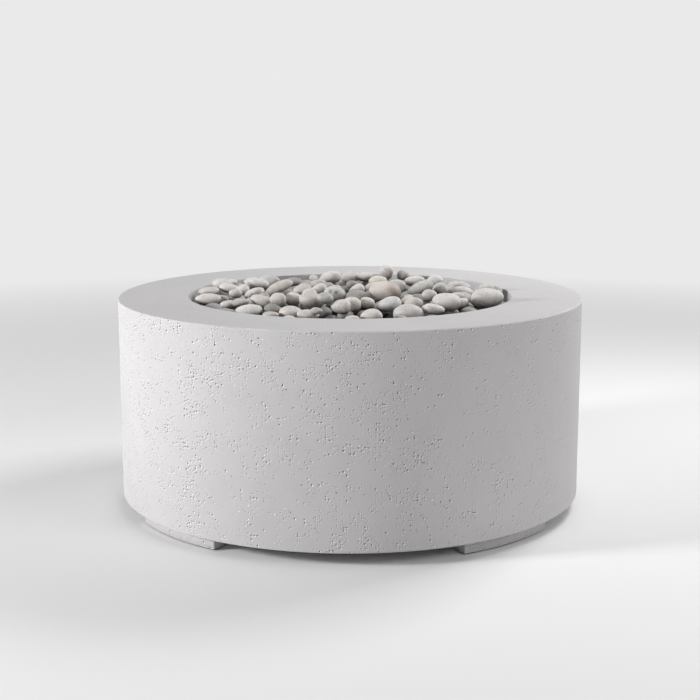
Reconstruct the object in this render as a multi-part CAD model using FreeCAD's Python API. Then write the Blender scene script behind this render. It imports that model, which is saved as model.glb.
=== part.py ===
import FreeCAD, Part
import math
import os
import random
from FreeCAD import Matrix, Placement, Rotation, Vector

# Round concrete fire pit table on four feet, millimetres.
# Origin on the floor under the centre, +Z up, controls in a pocket at the back (+Y).

# Concrete drum
rim_radius = 533.4
drum_height = 453.0
opening_radius = 373.4
wall_thickness = 25.0
rim_thickness = 30.0
edge_round = 3.0
collar_thickness = 25.0
collar_depth = 70.0
ledge_width = 20.0
ledge_thickness = 10.0
bottom_flange_width = 60.0
bottom_flange_thickness = 24.0

# Feet
foot_count = 4
first_foot_angle = 45.0
foot_height = 26.0
foot_setback = 20.4
foot_width = 60.0
foot_arc = 29.0
foot_edge_round = 2.0
pad_thickness = 3.0
pad_inset = 4.0

# Bolts through the feet
foot_bolt_radius = 4.0
foot_bolt_offset_angle = 8.0
foot_bolt_inset = 30.0
foot_bolt_head_radius = 7.0
foot_bolt_head_height = 5.0
counterbore_radius = 9.0
counterbore_depth = 8.0
foot_bolt_tail = 4.0
washer_radius = 8.5
washer_thickness = 1.6
foot_nut_flats = 13.0
foot_nut_height = 6.5
bolt_clearance = 0.5
thread_clearance = 0.05

# Burner pan, drop-in
pan_depth = 65.0
pan_sheet = 1.5
pan_wall_clearance = 3.0
pan_flange_clearance = 1.5
pan_drain_count = 8
pan_drain_radius = 5.0
pan_drain_circle = 290.0
first_drain_angle = 22.5

# Ring burner
burner_rise = 28.0
outer_ring_radius = 230.0
inner_ring_radius = 110.0
burner_tube_radius = 9.5
burner_tube_wall = 1.2
spoke_count = 4
spoke_turn = 20.0
spoke_radius = 8.5
hub_radius = 22.0
hub_height = 25.0
port_radius = 1.3
outer_port_count = 28
inner_port_count = 14
first_port_angle = 5.0
stand_count = 4
first_stand_angle = 45.0
stand_radius = 7.0
stand_foot_radius = 14.0
stand_foot_thickness = 2.0
stand_screw_radius = 2.5
stand_screw_head_radius = 5.0
stand_screw_head_height = 3.0
stand_screw_reach = 10.0
screw_end_gap = 1.0

# Feed below the hub
nipple_radius = 10.4
nipple_bore = 8.0
nipple_hub_depth = 10.0
nipple_drop = 30.0
pan_locknut_flats = 30.0
pan_locknut_height = 8.0
mixer_radius = 15.0
mixer_bore = 10.0
mixer_length = 92.0
mixer_overlap = 15.0
mixer_flange_radius = 17.5
mixer_flange_height = 6.0
air_window_width = 9.0
air_window_height = 20.0
air_window_rise = 18.0
shutter_thickness = 2.0
shutter_height = 30.0
spud_radius = 6.0
spud_socket_depth = 12.0
spud_flats = 19.0
spud_hex_height = 9.0
orifice_bore = 1.2
sliding_clearance = 0.06

# Gas line fittings
flare_radius = 6.35
flare_length = 14.0
flare_end_gap = 0.5
flare_nut_flats = 17.0
flare_nut_length = 20.0
hose_radius = 4.75
ferrule_length = 8.0
ferrule_radius = 7.0
ferrule_bore = 3.75

# Lava rock under the river stones, a shallow dome
bed_rim_drop = 44.0
bed_crown = 21.0
bed_wall_gap = 0.4
bed_gap = 0.4
bed_edge_gap = 1.0

# River stones
stone_gap = 0.3
stone_seed = 11
lower_stone_count = 105
bedding_count = 80
chip_count = 60
lower_tries = 8
gap_tries = 16
stone_wall_gap = 2.5
neighbour_reach = 80.0
lower_slip = 4.0
slip = 3.0
slip_rounds = 2
gap_slip_rounds = 3

# Control pocket in the back of the drum
pocket_width = 230.0
pocket_height = 140.0
pocket_depth = 45.0
pocket_corner = 12.0
pocket_centre_height = 285.0
pocket_wall = 25.0
window_width = 170.0
window_height = 90.0
plate_thickness = 2.5
plate_gap = 3.0
plate_corner = 9.0
plate_screw_radius = 2.5
plate_screw_head_radius = 4.6
plate_screw_head_height = 2.2
plate_screw_inset = 10.0
insert_radius = 4.0
insert_length = 12.0

# Gas valve and knob
valve_x = -35.0
valve_width = 44.0
valve_height = 44.0
valve_length = 48.0
valve_port_inset = 12.0
valve_port_side = 10.0
valve_edge_round = 3.0
nose_radius = 11.0
nose_length = 8.0
valve_nut_flats = 28.0
valve_nut_height = 4.0
plunger_radius = 5.0
plunger_length = 36.0
plunger_back_room = 6.0
plunger_proud = 1.0
plunger_floor = 4.0
stem_radius = 3.0
stem_front = 26.0
stem_flat = 0.8
stem_end_gap = 0.1
stem_round_length = 2.0
knob_radius = 23.0
knob_grip_radius = 19.0
knob_length = 26.0
knob_skirt = 6.0
knob_edge_round = 2.0
knob_flutes = 16
knob_flute_radius = 2.2
knob_flute_offset = 0.8
knob_well_gap = 3.0
knob_well_step = 2.0
push_travel = 3.0
knob_back_gap = 1.6
sensor_port_x = 14.0
sensor_port_rise = 15.0
sensor_port_radius = 4.0
sensor_port_length = 10.0

# Push-button igniter
igniter_x = 50.0
igniter_radius = 11.0
igniter_depth = 58.0
igniter_bezel_radius = 14.5
igniter_bezel_height = 2.5
igniter_nut_flats = 27.0
igniter_nut_height = 6.0
button_radius = 8.4
button_length = 12.0
button_stand = 6.0
button_travel = 3.5
button_well_wall = 0.6
button_edge_round = 1.5
terminal_radius = 3.0
terminal_length = 6.0

# Spark electrode and flame sensor under a rock guard
guard_x = 90.0
guard_y = 150.0
guard_length = 50.0
guard_depth = 60.0
guard_height = 52.0
guard_sheet = 1.2
guard_slot_count = 4
guard_slot_width = 5.0
guard_slot_height = 20.0
shelf_rise = 14.0
shelf_sheet = 1.5
shelf_depth = 22.0
electrode_x = 80.0
sensor_x = 100.0
probe_y = 160.0
insulator_radius = 3.5
insulator_height = 34.0
insulator_drop = 12.0
insulator_collar_radius = 5.5
insulator_collar_height = 2.5
electrode_radius = 1.0
electrode_tip = 12.0
electrode_tail = 4.0
electrode_tip_reach = 7.0
sensor_radius = 3.0
sensor_height = 44.0
sensor_drop = 12.0
lead_radius = 1.6

# Inlet bracket, shut-off valve and regulator
chain_wall_clearance = 96.4
chain_turn = 26.0
bracket_width = 50.0
bracket_sheet = 3.0
bracket_shelf_height = 85.0
bracket_shelf_lip = 18.0
bracket_riser_reach = 40.0
bracket_wall_gap = 8.4
bracket_bolt_radius = 3.0
bracket_bolt_spacing = 28.0
bracket_bolt_inset = 28.4
bracket_bolt_tail = 1.0
bracket_bolt_flats = 10.0
bracket_bolt_head = 4.0
bracket_nut_height = 5.0
bulkhead_radius = 9.0
inlet_radius = 7.94
inlet_thread_length = 25.0
inlet_cone_length = 4.0
inlet_cone_step = 3.2
inlet_bore = 4.5
inlet_hex_flats = 22.0
inlet_hex_height = 8.0
inlet_locknut_height = 6.0
socket_radius = 9.0
socket_depth = 10.0
shutoff_height = 44.0
shutoff_barrel_radius = 15.0
shutoff_belly_radius = 19.0
shutoff_bore = 6.0
ball_radius = 11.0
ball_flat = 9.5
shutoff_neck_radius = 7.0
shutoff_neck_reach = 26.0
shutoff_stem_radius = 4.0
lever_thickness = 3.0
lever_hub_radius = 9.0
lever_length = 56.0
lever_width = 14.0
lever_end_round = 6.5
lever_gap = 0.3
lever_stem_tail = 1.0
lever_nut_flats = 11.0
lever_nut_height = 5.0
regulator_neck_radius = 12.0
regulator_neck_height = 10.0
regulator_radius = 34.0
regulator_base_radius = 20.0
regulator_bowl_height = 18.0
regulator_band_height = 6.0
regulator_cap_height = 14.0
regulator_cap_radius = 24.0
regulator_cap_step = 2.0
regulator_outlet_wall = 1.5
regulator_outlet_rise = 13.0

# Hose and lead routes, held at both ends. Straights are lengths; the rest are shares of the way
# between the two ends (across, back and up).
supply_hose_straights = (35.5, 22.0)
supply_hose_bend_shares = ((0.5, 0.235), (0.85, 0.61))
burner_hose_sag = 91.0
burner_hose_fall_shares = ((0.127, 1.0, 1.0), (0.273, 1.03, 0.859), (0.394, 0.94, 0.613),
                           (0.503, 0.8, 0.331), (0.624, 0.57, 0.117), (0.758, 0.34, 0.012),
                           (0.874, 0.14, 0.0))
burner_hose_rise_shares = ((0.966, 0.209), (1.0, 0.549))
ignition_lead_shares = ((0.0, 0.0, 0.589), (0.1, 0.1, 0.196), (0.3, 0.267, -0.018),
                        (0.567, 0.475, -0.125), (0.833, 0.683, -0.107), (1.0, 0.861, 0.0))
sensor_lead_shares = ((0.0, 0.0, 0.467), (0.05, 0.111, 0.089), (0.198, 0.266, -0.111),
                      (0.421, 0.459, -0.2), (0.669, 0.651, -0.178), (0.901, 0.806, -0.067),
                      (1.0, 0.906, 0.0))

# Heights and radii worked out from the sizes above
foot_base = pad_thickness
drum_base = foot_base + foot_height
drum_top = drum_base + drum_height
rim_underside = drum_top - rim_thickness
flange_top = drum_base + bottom_flange_thickness
wall_inner_radius = rim_radius - wall_thickness
chain_radius = wall_inner_radius - chain_wall_clearance
ledge_top = drum_top - collar_depth + ledge_thickness
pan_flange_top = ledge_top + pan_sheet
pan_underside = ledge_top - pan_depth
pan_floor = pan_underside + pan_sheet
pan_radius = opening_radius - ledge_width - pan_wall_clearance
pan_flange_radius = opening_radius - pan_flange_clearance
burner_height = pan_floor + burner_rise
hub_base = burner_height - hub_height / 2
hub_top = burner_height + hub_height / 2
foot_outer_radius = rim_radius - foot_setback
foot_inner_radius = foot_outer_radius - foot_width
land_y = rim_radius - pocket_depth
plate_front = land_y + plate_thickness
chain_side = Vector(math.cos(math.radians(chain_turn)), math.sin(math.radians(chain_turn)), 0)
chain_centre = Vector(-chain_radius * chain_side.y, chain_radius * chain_side.x, 0)
shutoff_base = bracket_shelf_height + inlet_hex_height
shutoff_centre = shutoff_base + shutoff_height / 2
shutoff_top = shutoff_base + shutoff_height
regulator_base = shutoff_top + regulator_neck_height
regulator_outlet_height = regulator_base + regulator_outlet_rise
mixer_top = pan_underside - nipple_drop + mixer_overlap
mixer_base = mixer_top - mixer_length
spud_hex_top = mixer_base
spud_flare_top = spud_hex_top - spud_hex_height
burner_hose_end = spud_flare_top - flare_nut_length - ferrule_length


def polar(radius, degrees, z=0.0):
    """A point at a radius and an angle counted from +X."""
    turn = math.radians(degrees)
    return Vector(radius * math.cos(turn), radius * math.sin(turn), z)


def upright(radius, low, high, x=0.0, y=0.0):
    return Part.makeCylinder(radius, high - low, Vector(x, y, low))


def along_y(radius, back, front, x, z):
    return Part.makeCylinder(radius, front - back, Vector(x, back, z), Vector(0, 1, 0))


def along_x(radius, left, right, y, z):
    return Part.makeCylinder(radius, right - left, Vector(left, y, z), Vector(1, 0, 0))


def block(x_low, x_high, y_low, y_high, z_low, z_high):
    return Part.makeBox(x_high - x_low, y_high - y_low, z_high - z_low, Vector(x_low, y_low, z_low))


def spun(profile, start=0.0, sweep=360.0):
    """Turn a closed (radius, height) outline about the Z axis."""
    turn = math.radians(start)
    points = [Vector(r * math.cos(turn), r * math.sin(turn), z) for r, z in profile]
    face = Part.Face(Part.makePolygon(points + points[:1]))
    return face.revolve(Vector(0, 0, 0), Vector(0, 0, 1), sweep)


def hexagon(flats, low, high, axis=Vector(0, 0, 1), centre=Vector(0, 0, 0)):
    """Hexagonal prism along an axis, from low to high on it, measured from the centre."""
    corner = flats / math.sqrt(3)
    points = [polar(corner, 60 * k) for k in range(7)]
    prism = Part.Face(Part.makePolygon(points)).extrude(Vector(0, 0, high - low))
    prism.translate(Vector(0, 0, low))
    prism.Placement = Placement(centre, Rotation(Vector(0, 0, 1), axis)).multiply(prism.Placement)
    return prism


def rounded_panel(width, height, back, front, corner):
    """Upright panel with round corners, centred on the pocket."""
    panel = block(-width / 2, width / 2, back, front,
                  pocket_centre_height - height / 2, pocket_centre_height + height / 2)
    corners = [e for e in panel.Edges if abs(e.Vertexes[0].Y - e.Vertexes[1].Y) > 0.1]
    return panel.makeFillet(corner, corners)


def turned(shape, degrees):
    copy = shape.copy()
    copy.rotate(Vector(0, 0, 0), Vector(0, 0, 1), degrees)
    return copy


def tube_path(points):
    """Straight runs joined by tangent arcs, with each arc as large as its two runs allow."""
    radii = []
    edges = []
    start = points[0]
    for before, corner, after in zip(points, points[1:], points[2:]):
        arriving = (corner - before).normalize()
        leaving = (after - corner).normalize()
        half_turn = arriving.getAngle(leaving) / 2
        reach = 0.45 * min((corner - before).Length, (after - corner).Length)
        radii.append(reach / math.tan(half_turn))
        arc_start = corner - arriving * reach
        arc_end = corner + leaving * reach
        to_centre = (leaving - arriving).normalize()
        middle = corner + to_centre * (radii[-1] / math.cos(half_turn) - radii[-1])
        edges.append(Part.LineSegment(start, arc_start).toShape())
        edges.append(Part.Arc(arc_start, middle, arc_end).toShape())
        start = arc_end
    edges.append(Part.LineSegment(start, points[-1]).toShape())
    return Part.Wire(edges), radii


def tube(name, points, radius):
    wire, radii = tube_path(points)
    along = (points[1] - points[0]).normalize()
    section = Part.Wire(Part.makeCircle(radius, points[0], along))
    solid = wire.makePipeShell([section], True, False)
    full = math.pi * radius ** 2 * wire.Length
    share = solid.Volume / full
    print(f"{name}: {wire.Length:.0f} long, least bend {min(radii):.0f}, volume share {share:.4f}")
    return solid


def concrete_drum():
    flange_inner = wall_inner_radius - bottom_flange_width
    collar_outer = opening_radius + collar_thickness
    drum = spun([(flange_inner, drum_base), (rim_radius, drum_base), (rim_radius, drum_top),
                 (opening_radius, drum_top), (opening_radius, ledge_top),
                 (opening_radius - ledge_width, ledge_top),
                 (opening_radius - ledge_width, drum_top - collar_depth),
                 (collar_outer, drum_top - collar_depth), (collar_outer, rim_underside),
                 (wall_inner_radius, rim_underside), (wall_inner_radius, flange_top),
                 (flange_inner, flange_top)])
    rounded = [e for e in drum.Edges if isinstance(e.Curve, Part.Circle)
               and abs(e.Curve.Center.z - drum_top) < 0.01]
    rounded += [e for e in drum.Edges if isinstance(e.Curve, Part.Circle)
                and abs(e.Curve.Center.z - drum_base) < 0.01
                and abs(e.Curve.Radius - rim_radius) < 0.01]
    drum = drum.makeFillet(edge_round, rounded)
    half = pocket_width / 2 + pocket_wall
    boss = block(-half, half, land_y - pocket_wall, rim_radius,
                 pocket_centre_height - pocket_height / 2 - pocket_wall,
                 pocket_centre_height + pocket_height / 2 + pocket_wall)
    boss = boss.common(upright(rim_radius - wall_thickness / 2, drum_base, drum_top))
    drum = drum.fuse(boss)
    drum = drum.cut(rounded_panel(pocket_width, pocket_height, land_y, rim_radius + 1, pocket_corner))
    drum = drum.cut(rounded_panel(window_width, window_height, land_y - pocket_wall - 1, land_y + 1,
                                  pocket_corner))
    holes = [upright(foot_bolt_radius + bolt_clearance, drum_base - 1, flange_top + 1, x, y)
             for x, y in foot_bolt_places()]
    holes += [along_y(insert_radius + thread_clearance, land_y - insert_length, land_y + 1, x, z)
              for x, z in plate_screw_places()]
    holes += [turned(upright(bracket_bolt_radius + bolt_clearance, drum_base - 1, flange_top + 1,
                             side, bracket_bolt_y()), chain_turn) for side in bracket_bolt_sides()]
    return drum.cut(holes)


def foot_angles():
    return [first_foot_angle + 360.0 / foot_count * k for k in range(foot_count)]


def foot_bolt_places():
    circle = foot_outer_radius - foot_bolt_inset
    places = [polar(circle, angle + side * foot_bolt_offset_angle)
              for angle in foot_angles() for side in (-1, 1)]
    return [(p.x, p.y) for p in places]


def foot(angle):
    body = spun([(foot_inner_radius, foot_base), (foot_outer_radius, foot_base),
                 (foot_outer_radius, drum_base), (foot_inner_radius, drum_base)],
                angle - foot_arc / 2, foot_arc)
    uprights = [e for e in body.Edges if abs(e.Vertexes[0].Z - e.Vertexes[-1].Z) > foot_height / 2]
    body = body.makeFillet(foot_edge_round, uprights)
    for x, y in foot_bolt_places():
        body = body.cut([upright(foot_bolt_radius + bolt_clearance, foot_base - 1, drum_base + 1, x, y),
                         upright(counterbore_radius, foot_base - 1, foot_base + counterbore_depth, x, y)])
    return body


def foot_pad(angle):
    inner = foot_inner_radius + pad_inset
    outer = foot_outer_radius - pad_inset
    trim = 2 * math.degrees(pad_inset / foot_outer_radius)
    return spun([(inner, 0), (outer, 0), (outer, pad_thickness), (inner, pad_thickness)],
                angle - (foot_arc - trim) / 2, foot_arc - trim)


def foot_bolts():
    seat = foot_base + counterbore_depth
    top = flange_top + washer_thickness + foot_nut_height + foot_bolt_tail
    return [upright(foot_bolt_head_radius, seat - foot_bolt_head_height, seat, x, y)
            .fuse(upright(foot_bolt_radius, seat, top, x, y)) for x, y in foot_bolt_places()]


def foot_washers():
    top = flange_top + washer_thickness
    return [upright(washer_radius, flange_top, top, x, y)
            .cut(upright(foot_bolt_radius + thread_clearance, flange_top, top, x, y))
            for x, y in foot_bolt_places()]


def foot_nuts():
    low = flange_top + washer_thickness
    high = low + foot_nut_height
    return [hexagon(foot_nut_flats, low, high, centre=Vector(x, y, 0))
            .cut(upright(foot_bolt_radius + thread_clearance, low, high, x, y))
            for x, y in foot_bolt_places()]


def stand_places():
    places = [polar(outer_ring_radius, first_stand_angle + 360.0 / stand_count * k)
              for k in range(stand_count)]
    return [(p.x, p.y) for p in places]


def burner_pan():
    pan = spun([(0, pan_underside), (pan_radius, pan_underside), (pan_radius, ledge_top),
                (pan_flange_radius, ledge_top), (pan_flange_radius, pan_flange_top),
                (pan_radius - pan_sheet, pan_flange_top), (pan_radius - pan_sheet, pan_floor),
                (0, pan_floor)])

    def hole(radius, x, y):
        return upright(radius, pan_underside - 1, pan_floor + 1, x, y)

    holes = [hole(nipple_radius + bolt_clearance, 0, 0)]
    holes += [hole(stand_screw_radius + bolt_clearance, x, y) for x, y in stand_places()]
    holes += [hole(insulator_radius + sliding_clearance, electrode_x, probe_y),
              hole(sensor_radius + sliding_clearance, sensor_x, probe_y)]
    for k in range(pan_drain_count):
        place = polar(pan_drain_circle, first_drain_angle + 360.0 / pan_drain_count * k)
        holes.append(hole(pan_drain_radius, place.x, place.y))
    return pan.cut(holes)


def burner_tubes(grow):
    """The burner's hub, rings and spokes, each with its faces moved out by grow."""
    centre = Vector(0, 0, burner_height)
    shapes = [upright(hub_radius + grow, hub_base - grow, hub_top + grow),
              Part.makeTorus(outer_ring_radius, burner_tube_radius + grow, centre),
              Part.makeTorus(inner_ring_radius, burner_tube_radius + grow, centre)]
    for k in range(spoke_count):
        shapes.append(Part.makeCylinder(spoke_radius + grow, outer_ring_radius, centre,
                                        polar(1, spoke_turn + 360.0 / spoke_count * k)))
    return shapes


def ring_burner():
    outside = burner_tubes(0.0)
    inside = burner_tubes(-burner_tube_wall)
    burner = outside[0].multiFuse(outside[1:]).cut(inside[0].multiFuse(inside[1:]))
    nipple_socket = upright(nipple_radius + thread_clearance, hub_base - 1, hub_base + nipple_hub_depth)
    rings = ((outer_ring_radius, outer_port_count), (inner_ring_radius, inner_port_count))
    ports = [upright(port_radius, burner_height, burner_height + 2 * burner_tube_radius,
                     *polar(ring, first_port_angle + 360.0 / count * k)[:2])
             for ring, count in rings for k in range(count)]
    return burner.cut([nipple_socket] + ports)


def burner_stands():
    stands = []
    rings = Part.makeTorus(outer_ring_radius, burner_tube_radius + sliding_clearance,
                           Vector(0, 0, burner_height))
    for x, y in stand_places():
        stand = upright(stand_foot_radius, pan_floor, pan_floor + stand_foot_thickness, x, y)
        stand = stand.fuse(upright(stand_radius, pan_floor, burner_height, x, y)).cut(rings)
        bore = upright(stand_screw_radius + thread_clearance, pan_floor - 1,
                       pan_floor + stand_screw_reach, x, y)
        stands.append(stand.cut(bore))
    return stands


def stand_screws():
    head_low = pan_underside - stand_screw_head_height
    return [upright(stand_screw_head_radius, head_low, pan_underside, x, y)
            .fuse(upright(stand_screw_radius, pan_underside, pan_floor + stand_screw_reach - screw_end_gap,
                          x, y))
            for x, y in stand_places()]


def feed_nipple():
    low = pan_underside - nipple_drop
    body = upright(nipple_radius, low, hub_base + nipple_hub_depth)
    body = body.fuse(hexagon(pan_locknut_flats, pan_floor, hub_base))
    return body.cut(upright(nipple_bore, low - 1, hub_base + nipple_hub_depth + 1))


def pan_locknut():
    low = pan_underside - pan_locknut_height
    nut = hexagon(pan_locknut_flats, low, pan_underside)
    return nut.cut(upright(nipple_radius + thread_clearance, low - 1, pan_underside + 1))


def air_windows(radius):
    low = mixer_base + air_window_rise
    return block(-radius, radius, -air_window_width / 2, air_window_width / 2, low, low + air_window_height)


def air_mixer():
    body = upright(mixer_radius, mixer_base, mixer_top)
    body = body.fuse(upright(mixer_flange_radius, mixer_base, mixer_base + mixer_flange_height))
    chamber = upright(mixer_bore, mixer_base + spud_socket_depth, mixer_top + 1)
    socket = upright(nipple_radius + thread_clearance, mixer_top - mixer_overlap, mixer_top + 1)
    spud_hole = upright(spud_radius + thread_clearance, mixer_base - 1, mixer_base + spud_socket_depth + 1)
    return body.cut([chamber, socket, spud_hole, air_windows(mixer_radius + 1)])


def air_shutter():
    inner = mixer_radius + sliding_clearance
    low = mixer_base + mixer_flange_height + 2 * sliding_clearance
    sleeve = upright(inner + shutter_thickness, low, low + shutter_height)
    return sleeve.cut([upright(inner, low - 1, low + shutter_height + 1),
                       air_windows(inner + shutter_thickness + 1)])


def orifice_spud():
    body = hexagon(spud_flats, spud_flare_top, spud_hex_top)
    body = body.fuse(upright(spud_radius, spud_hex_top, spud_hex_top + spud_socket_depth))
    body = body.fuse(upright(flare_radius, spud_flare_top - flare_length, spud_flare_top))
    feed = upright(flare_radius / 2, spud_flare_top - flare_length - 1, spud_hex_top)
    jet = upright(orifice_bore, spud_hex_top - 1, spud_hex_top + spud_socket_depth + 1)
    return body.cut([feed, jet])


def flare_nut(end, direction):
    """Hexagonal flare nut over a male flare, with the hose's ferrule behind it."""
    nut = hexagon(flare_nut_flats, 0, flare_nut_length, direction, end)
    nut = nut.cut(Part.makeCylinder(flare_radius + thread_clearance, flare_length + flare_end_gap,
                                    end - direction * flare_end_gap, direction))
    tail = end + direction * flare_nut_length
    ferrule = Part.makeCylinder(ferrule_radius, ferrule_length, tail, direction)
    nut = nut.fuse(ferrule)
    return nut.cut(Part.makeCylinder(ferrule_bore, flare_nut_length + ferrule_length + 1, end, direction))


def guard_box(grow, top_grow):
    x_half = guard_length / 2 + grow
    y_half = guard_depth / 2 + grow
    return block(guard_x - x_half, guard_x + x_half, guard_y - y_half, guard_y + y_half,
                 pan_floor, pan_floor + guard_height + top_grow)


def rock_guard():
    guard = guard_box(0.0, 0.0).cut(guard_box(-guard_sheet, -guard_sheet))
    slot_low = pan_floor + guard_height - guard_slot_height - 2 * guard_sheet
    pitch = guard_length / (guard_slot_count + 1)
    slots = []
    for k in range(guard_slot_count):
        middle = guard_x - guard_length / 2 + pitch * (k + 1)
        slots.append(block(middle - guard_slot_width / 2, middle + guard_slot_width / 2,
                           guard_y - guard_depth, guard_y + guard_depth,
                           slot_low, slot_low + guard_slot_height))
    return guard.cut(slots)


def probe_shelf():
    half = guard_length / 2 - guard_sheet
    top = pan_floor + shelf_rise
    y_low = probe_y - shelf_depth / 2
    y_high = probe_y + shelf_depth / 2
    shelf = block(guard_x - half, guard_x + half, y_low, y_high, pan_floor, top)
    inside = half - shelf_sheet
    shelf = shelf.cut(block(guard_x - inside, guard_x + inside, y_low - 1, y_high + 1,
                            pan_floor - 1, top - shelf_sheet))
    seats = [upright(insulator_radius + sliding_clearance, pan_floor, top + 1, electrode_x, probe_y),
             upright(sensor_radius + sliding_clearance, pan_floor, top + 1, sensor_x, probe_y)]
    return shelf.cut(seats)


def electrode_insulator():
    low = pan_underside - insulator_drop
    shelf_top = pan_floor + shelf_rise
    body = upright(insulator_radius, low, low + insulator_height, electrode_x, probe_y)
    body = body.fuse(upright(insulator_collar_radius, shelf_top, shelf_top + insulator_collar_height,
                             electrode_x, probe_y))
    return body.cut(upright(electrode_radius + sliding_clearance, low - 1, low + insulator_height + 1,
                            electrode_x, probe_y))


def spark_electrode():
    low = pan_underside - insulator_drop - electrode_tail
    high = pan_underside - insulator_drop + insulator_height + electrode_tip
    rod = upright(electrode_radius, low, high, electrode_x, probe_y)
    tip = along_y(electrode_radius, probe_y - electrode_tip_reach, probe_y, electrode_x,
                  high - electrode_tip / 4)
    return rod.fuse(tip)


def flame_sensor():
    low = pan_underside - sensor_drop
    shelf_top = pan_floor + shelf_rise
    body = upright(sensor_radius, low, low + sensor_height, sensor_x, probe_y)
    return body.fuse(upright(insulator_collar_radius, shelf_top, shelf_top + insulator_collar_height,
                             sensor_x, probe_y))


def lava_rock_bed():
    """Loose lava gravel taken as one solid: fills the pan, covers its flange, crowned on top."""
    inner = pan_radius - pan_sheet - bed_wall_gap
    outer = opening_radius - bed_edge_gap
    crown = bed_sphere()
    top = crown[0] + crown[1]
    gravel = spun([(0, pan_floor), (inner, pan_floor), (inner, pan_flange_top),
                   (outer, pan_flange_top), (outer, top), (0, top)])
    ball = Part.makeSphere(crown[1], Vector(0, 0, crown[0]))
    slab = upright(opening_radius + 1, pan_floor - 1, top + 1)
    gravel = gravel.common(ball.common(slab))
    cuts = burner_tubes(bed_gap) + [guard_box(bed_gap, bed_gap)]
    cuts.append(hexagon(pan_locknut_flats + 2 * bed_gap, pan_floor - 1, hub_base))
    for x, y in stand_places():
        cuts.append(upright(stand_foot_radius + bed_gap, pan_floor - 1,
                            pan_floor + stand_foot_thickness + bed_gap, x, y))
        cuts.append(upright(stand_radius + bed_gap, pan_floor - 1, burner_height, x, y))
    return gravel.cut(cuts)


def bed_sphere():
    """Height of the centre and radius of the sphere whose cap is the top of the lava rock."""
    radius = (opening_radius ** 2 + bed_crown ** 2) / (2 * bed_crown)
    return drum_top - bed_rim_drop + bed_crown - radius, radius


def plate_screw_places():
    x = pocket_width / 2 - plate_gap - plate_screw_inset
    z = pocket_height / 2 - plate_gap - plate_screw_inset
    return [(sx * x, pocket_centre_height + sz * z) for sx in (-1, 1) for sz in (-1, 1)]


def control_plate():
    plate = rounded_panel(pocket_width - 2 * plate_gap, pocket_height - 2 * plate_gap, land_y, plate_front,
                          plate_corner)
    holes = [along_y(nose_radius + bolt_clearance, land_y - 1, plate_front + 1, valve_x,
                     pocket_centre_height),
             along_y(igniter_radius + bolt_clearance, land_y - 1, plate_front + 1, igniter_x,
                     pocket_centre_height)]
    holes += [along_y(plate_screw_radius + bolt_clearance, land_y - 1, plate_front + 1, x, z)
              for x, z in plate_screw_places()]
    return plate.cut(holes)


def plate_screws():
    return [along_y(plate_screw_radius, land_y - insert_length + screw_end_gap, plate_front, x, z)
            .fuse(along_y(plate_screw_head_radius, plate_front, plate_front + plate_screw_head_height,
                          x, z))
            for x, z in plate_screw_places()]


def plate_inserts():
    return [along_y(insert_radius, land_y - insert_length, land_y, x, z)
            .cut(along_y(plate_screw_radius + thread_clearance, land_y - insert_length - 1, land_y + 1,
                         x, z))
            for x, z in plate_screw_places()]


def gas_valve_body():
    z = pocket_centre_height
    back = land_y - valve_length
    body = block(valve_x - valve_width / 2, valve_x + valve_width / 2, back, land_y,
                 z - valve_height / 2, z + valve_height / 2)
    body = body.makeFillet(valve_edge_round,
                           [e for e in body.Edges if abs(e.Vertexes[0].Y - e.Vertexes[1].Y) > 1])
    body = body.fuse(along_y(nose_radius, land_y, plate_front + nose_length, valve_x, z))
    inlet = valve_inlet()
    body = body.fuse(upright(flare_radius, z - valve_height / 2 - flare_length, z - valve_height / 2,
                             inlet.x, inlet.y))
    body = body.fuse(along_y(flare_radius, back - flare_length, back, valve_x, z))
    body = body.fuse(along_y(sensor_port_radius, back - sensor_port_length, back,
                             valve_x + sensor_port_x, z + sensor_port_rise))
    front = plate_front + nose_length
    plunger_bore = along_y(plunger_radius + sliding_clearance, front - plunger_length - plunger_back_room,
                           front + 1, valve_x, z)
    return body.cut(plunger_bore)


def valve_inlet():
    """Where the supply line enters the valve's underside."""
    return Vector(valve_x - valve_port_side, land_y - valve_length + valve_port_inset,
                  pocket_centre_height - valve_height / 2)


def valve_nut():
    axis = Vector(0, 1, 0)
    centre = Vector(valve_x, plate_front, pocket_centre_height)
    nut = hexagon(valve_nut_flats, 0, valve_nut_height, axis, centre)
    return nut.cut(along_y(nose_radius + thread_clearance, plate_front - 1,
                           plate_front + valve_nut_height + 1, valve_x, pocket_centre_height))


def plunger_back():
    return plate_front + nose_length - plunger_length


def valve_plunger():
    front = plunger_back() + plunger_length + plunger_proud
    body = along_y(plunger_radius, plunger_back(), front, valve_x, pocket_centre_height)
    return body.cut(along_y(stem_radius + sliding_clearance, plunger_back() + plunger_floor, front + 1,
                            valve_x, pocket_centre_height))


def stem_solid(grow):
    back = plunger_back() + plunger_floor + stem_end_gap
    front = plate_front + nose_length + stem_front
    stem = along_y(stem_radius + grow, back, front, valve_x, pocket_centre_height)
    flat = block(valve_x - 2 * stem_radius, valve_x + 2 * stem_radius,
                 plate_front + nose_length + stem_round_length, front + 1,
                 pocket_centre_height + stem_radius - stem_flat + grow,
                 pocket_centre_height + 2 * stem_radius)
    return stem.cut(flat)


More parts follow.
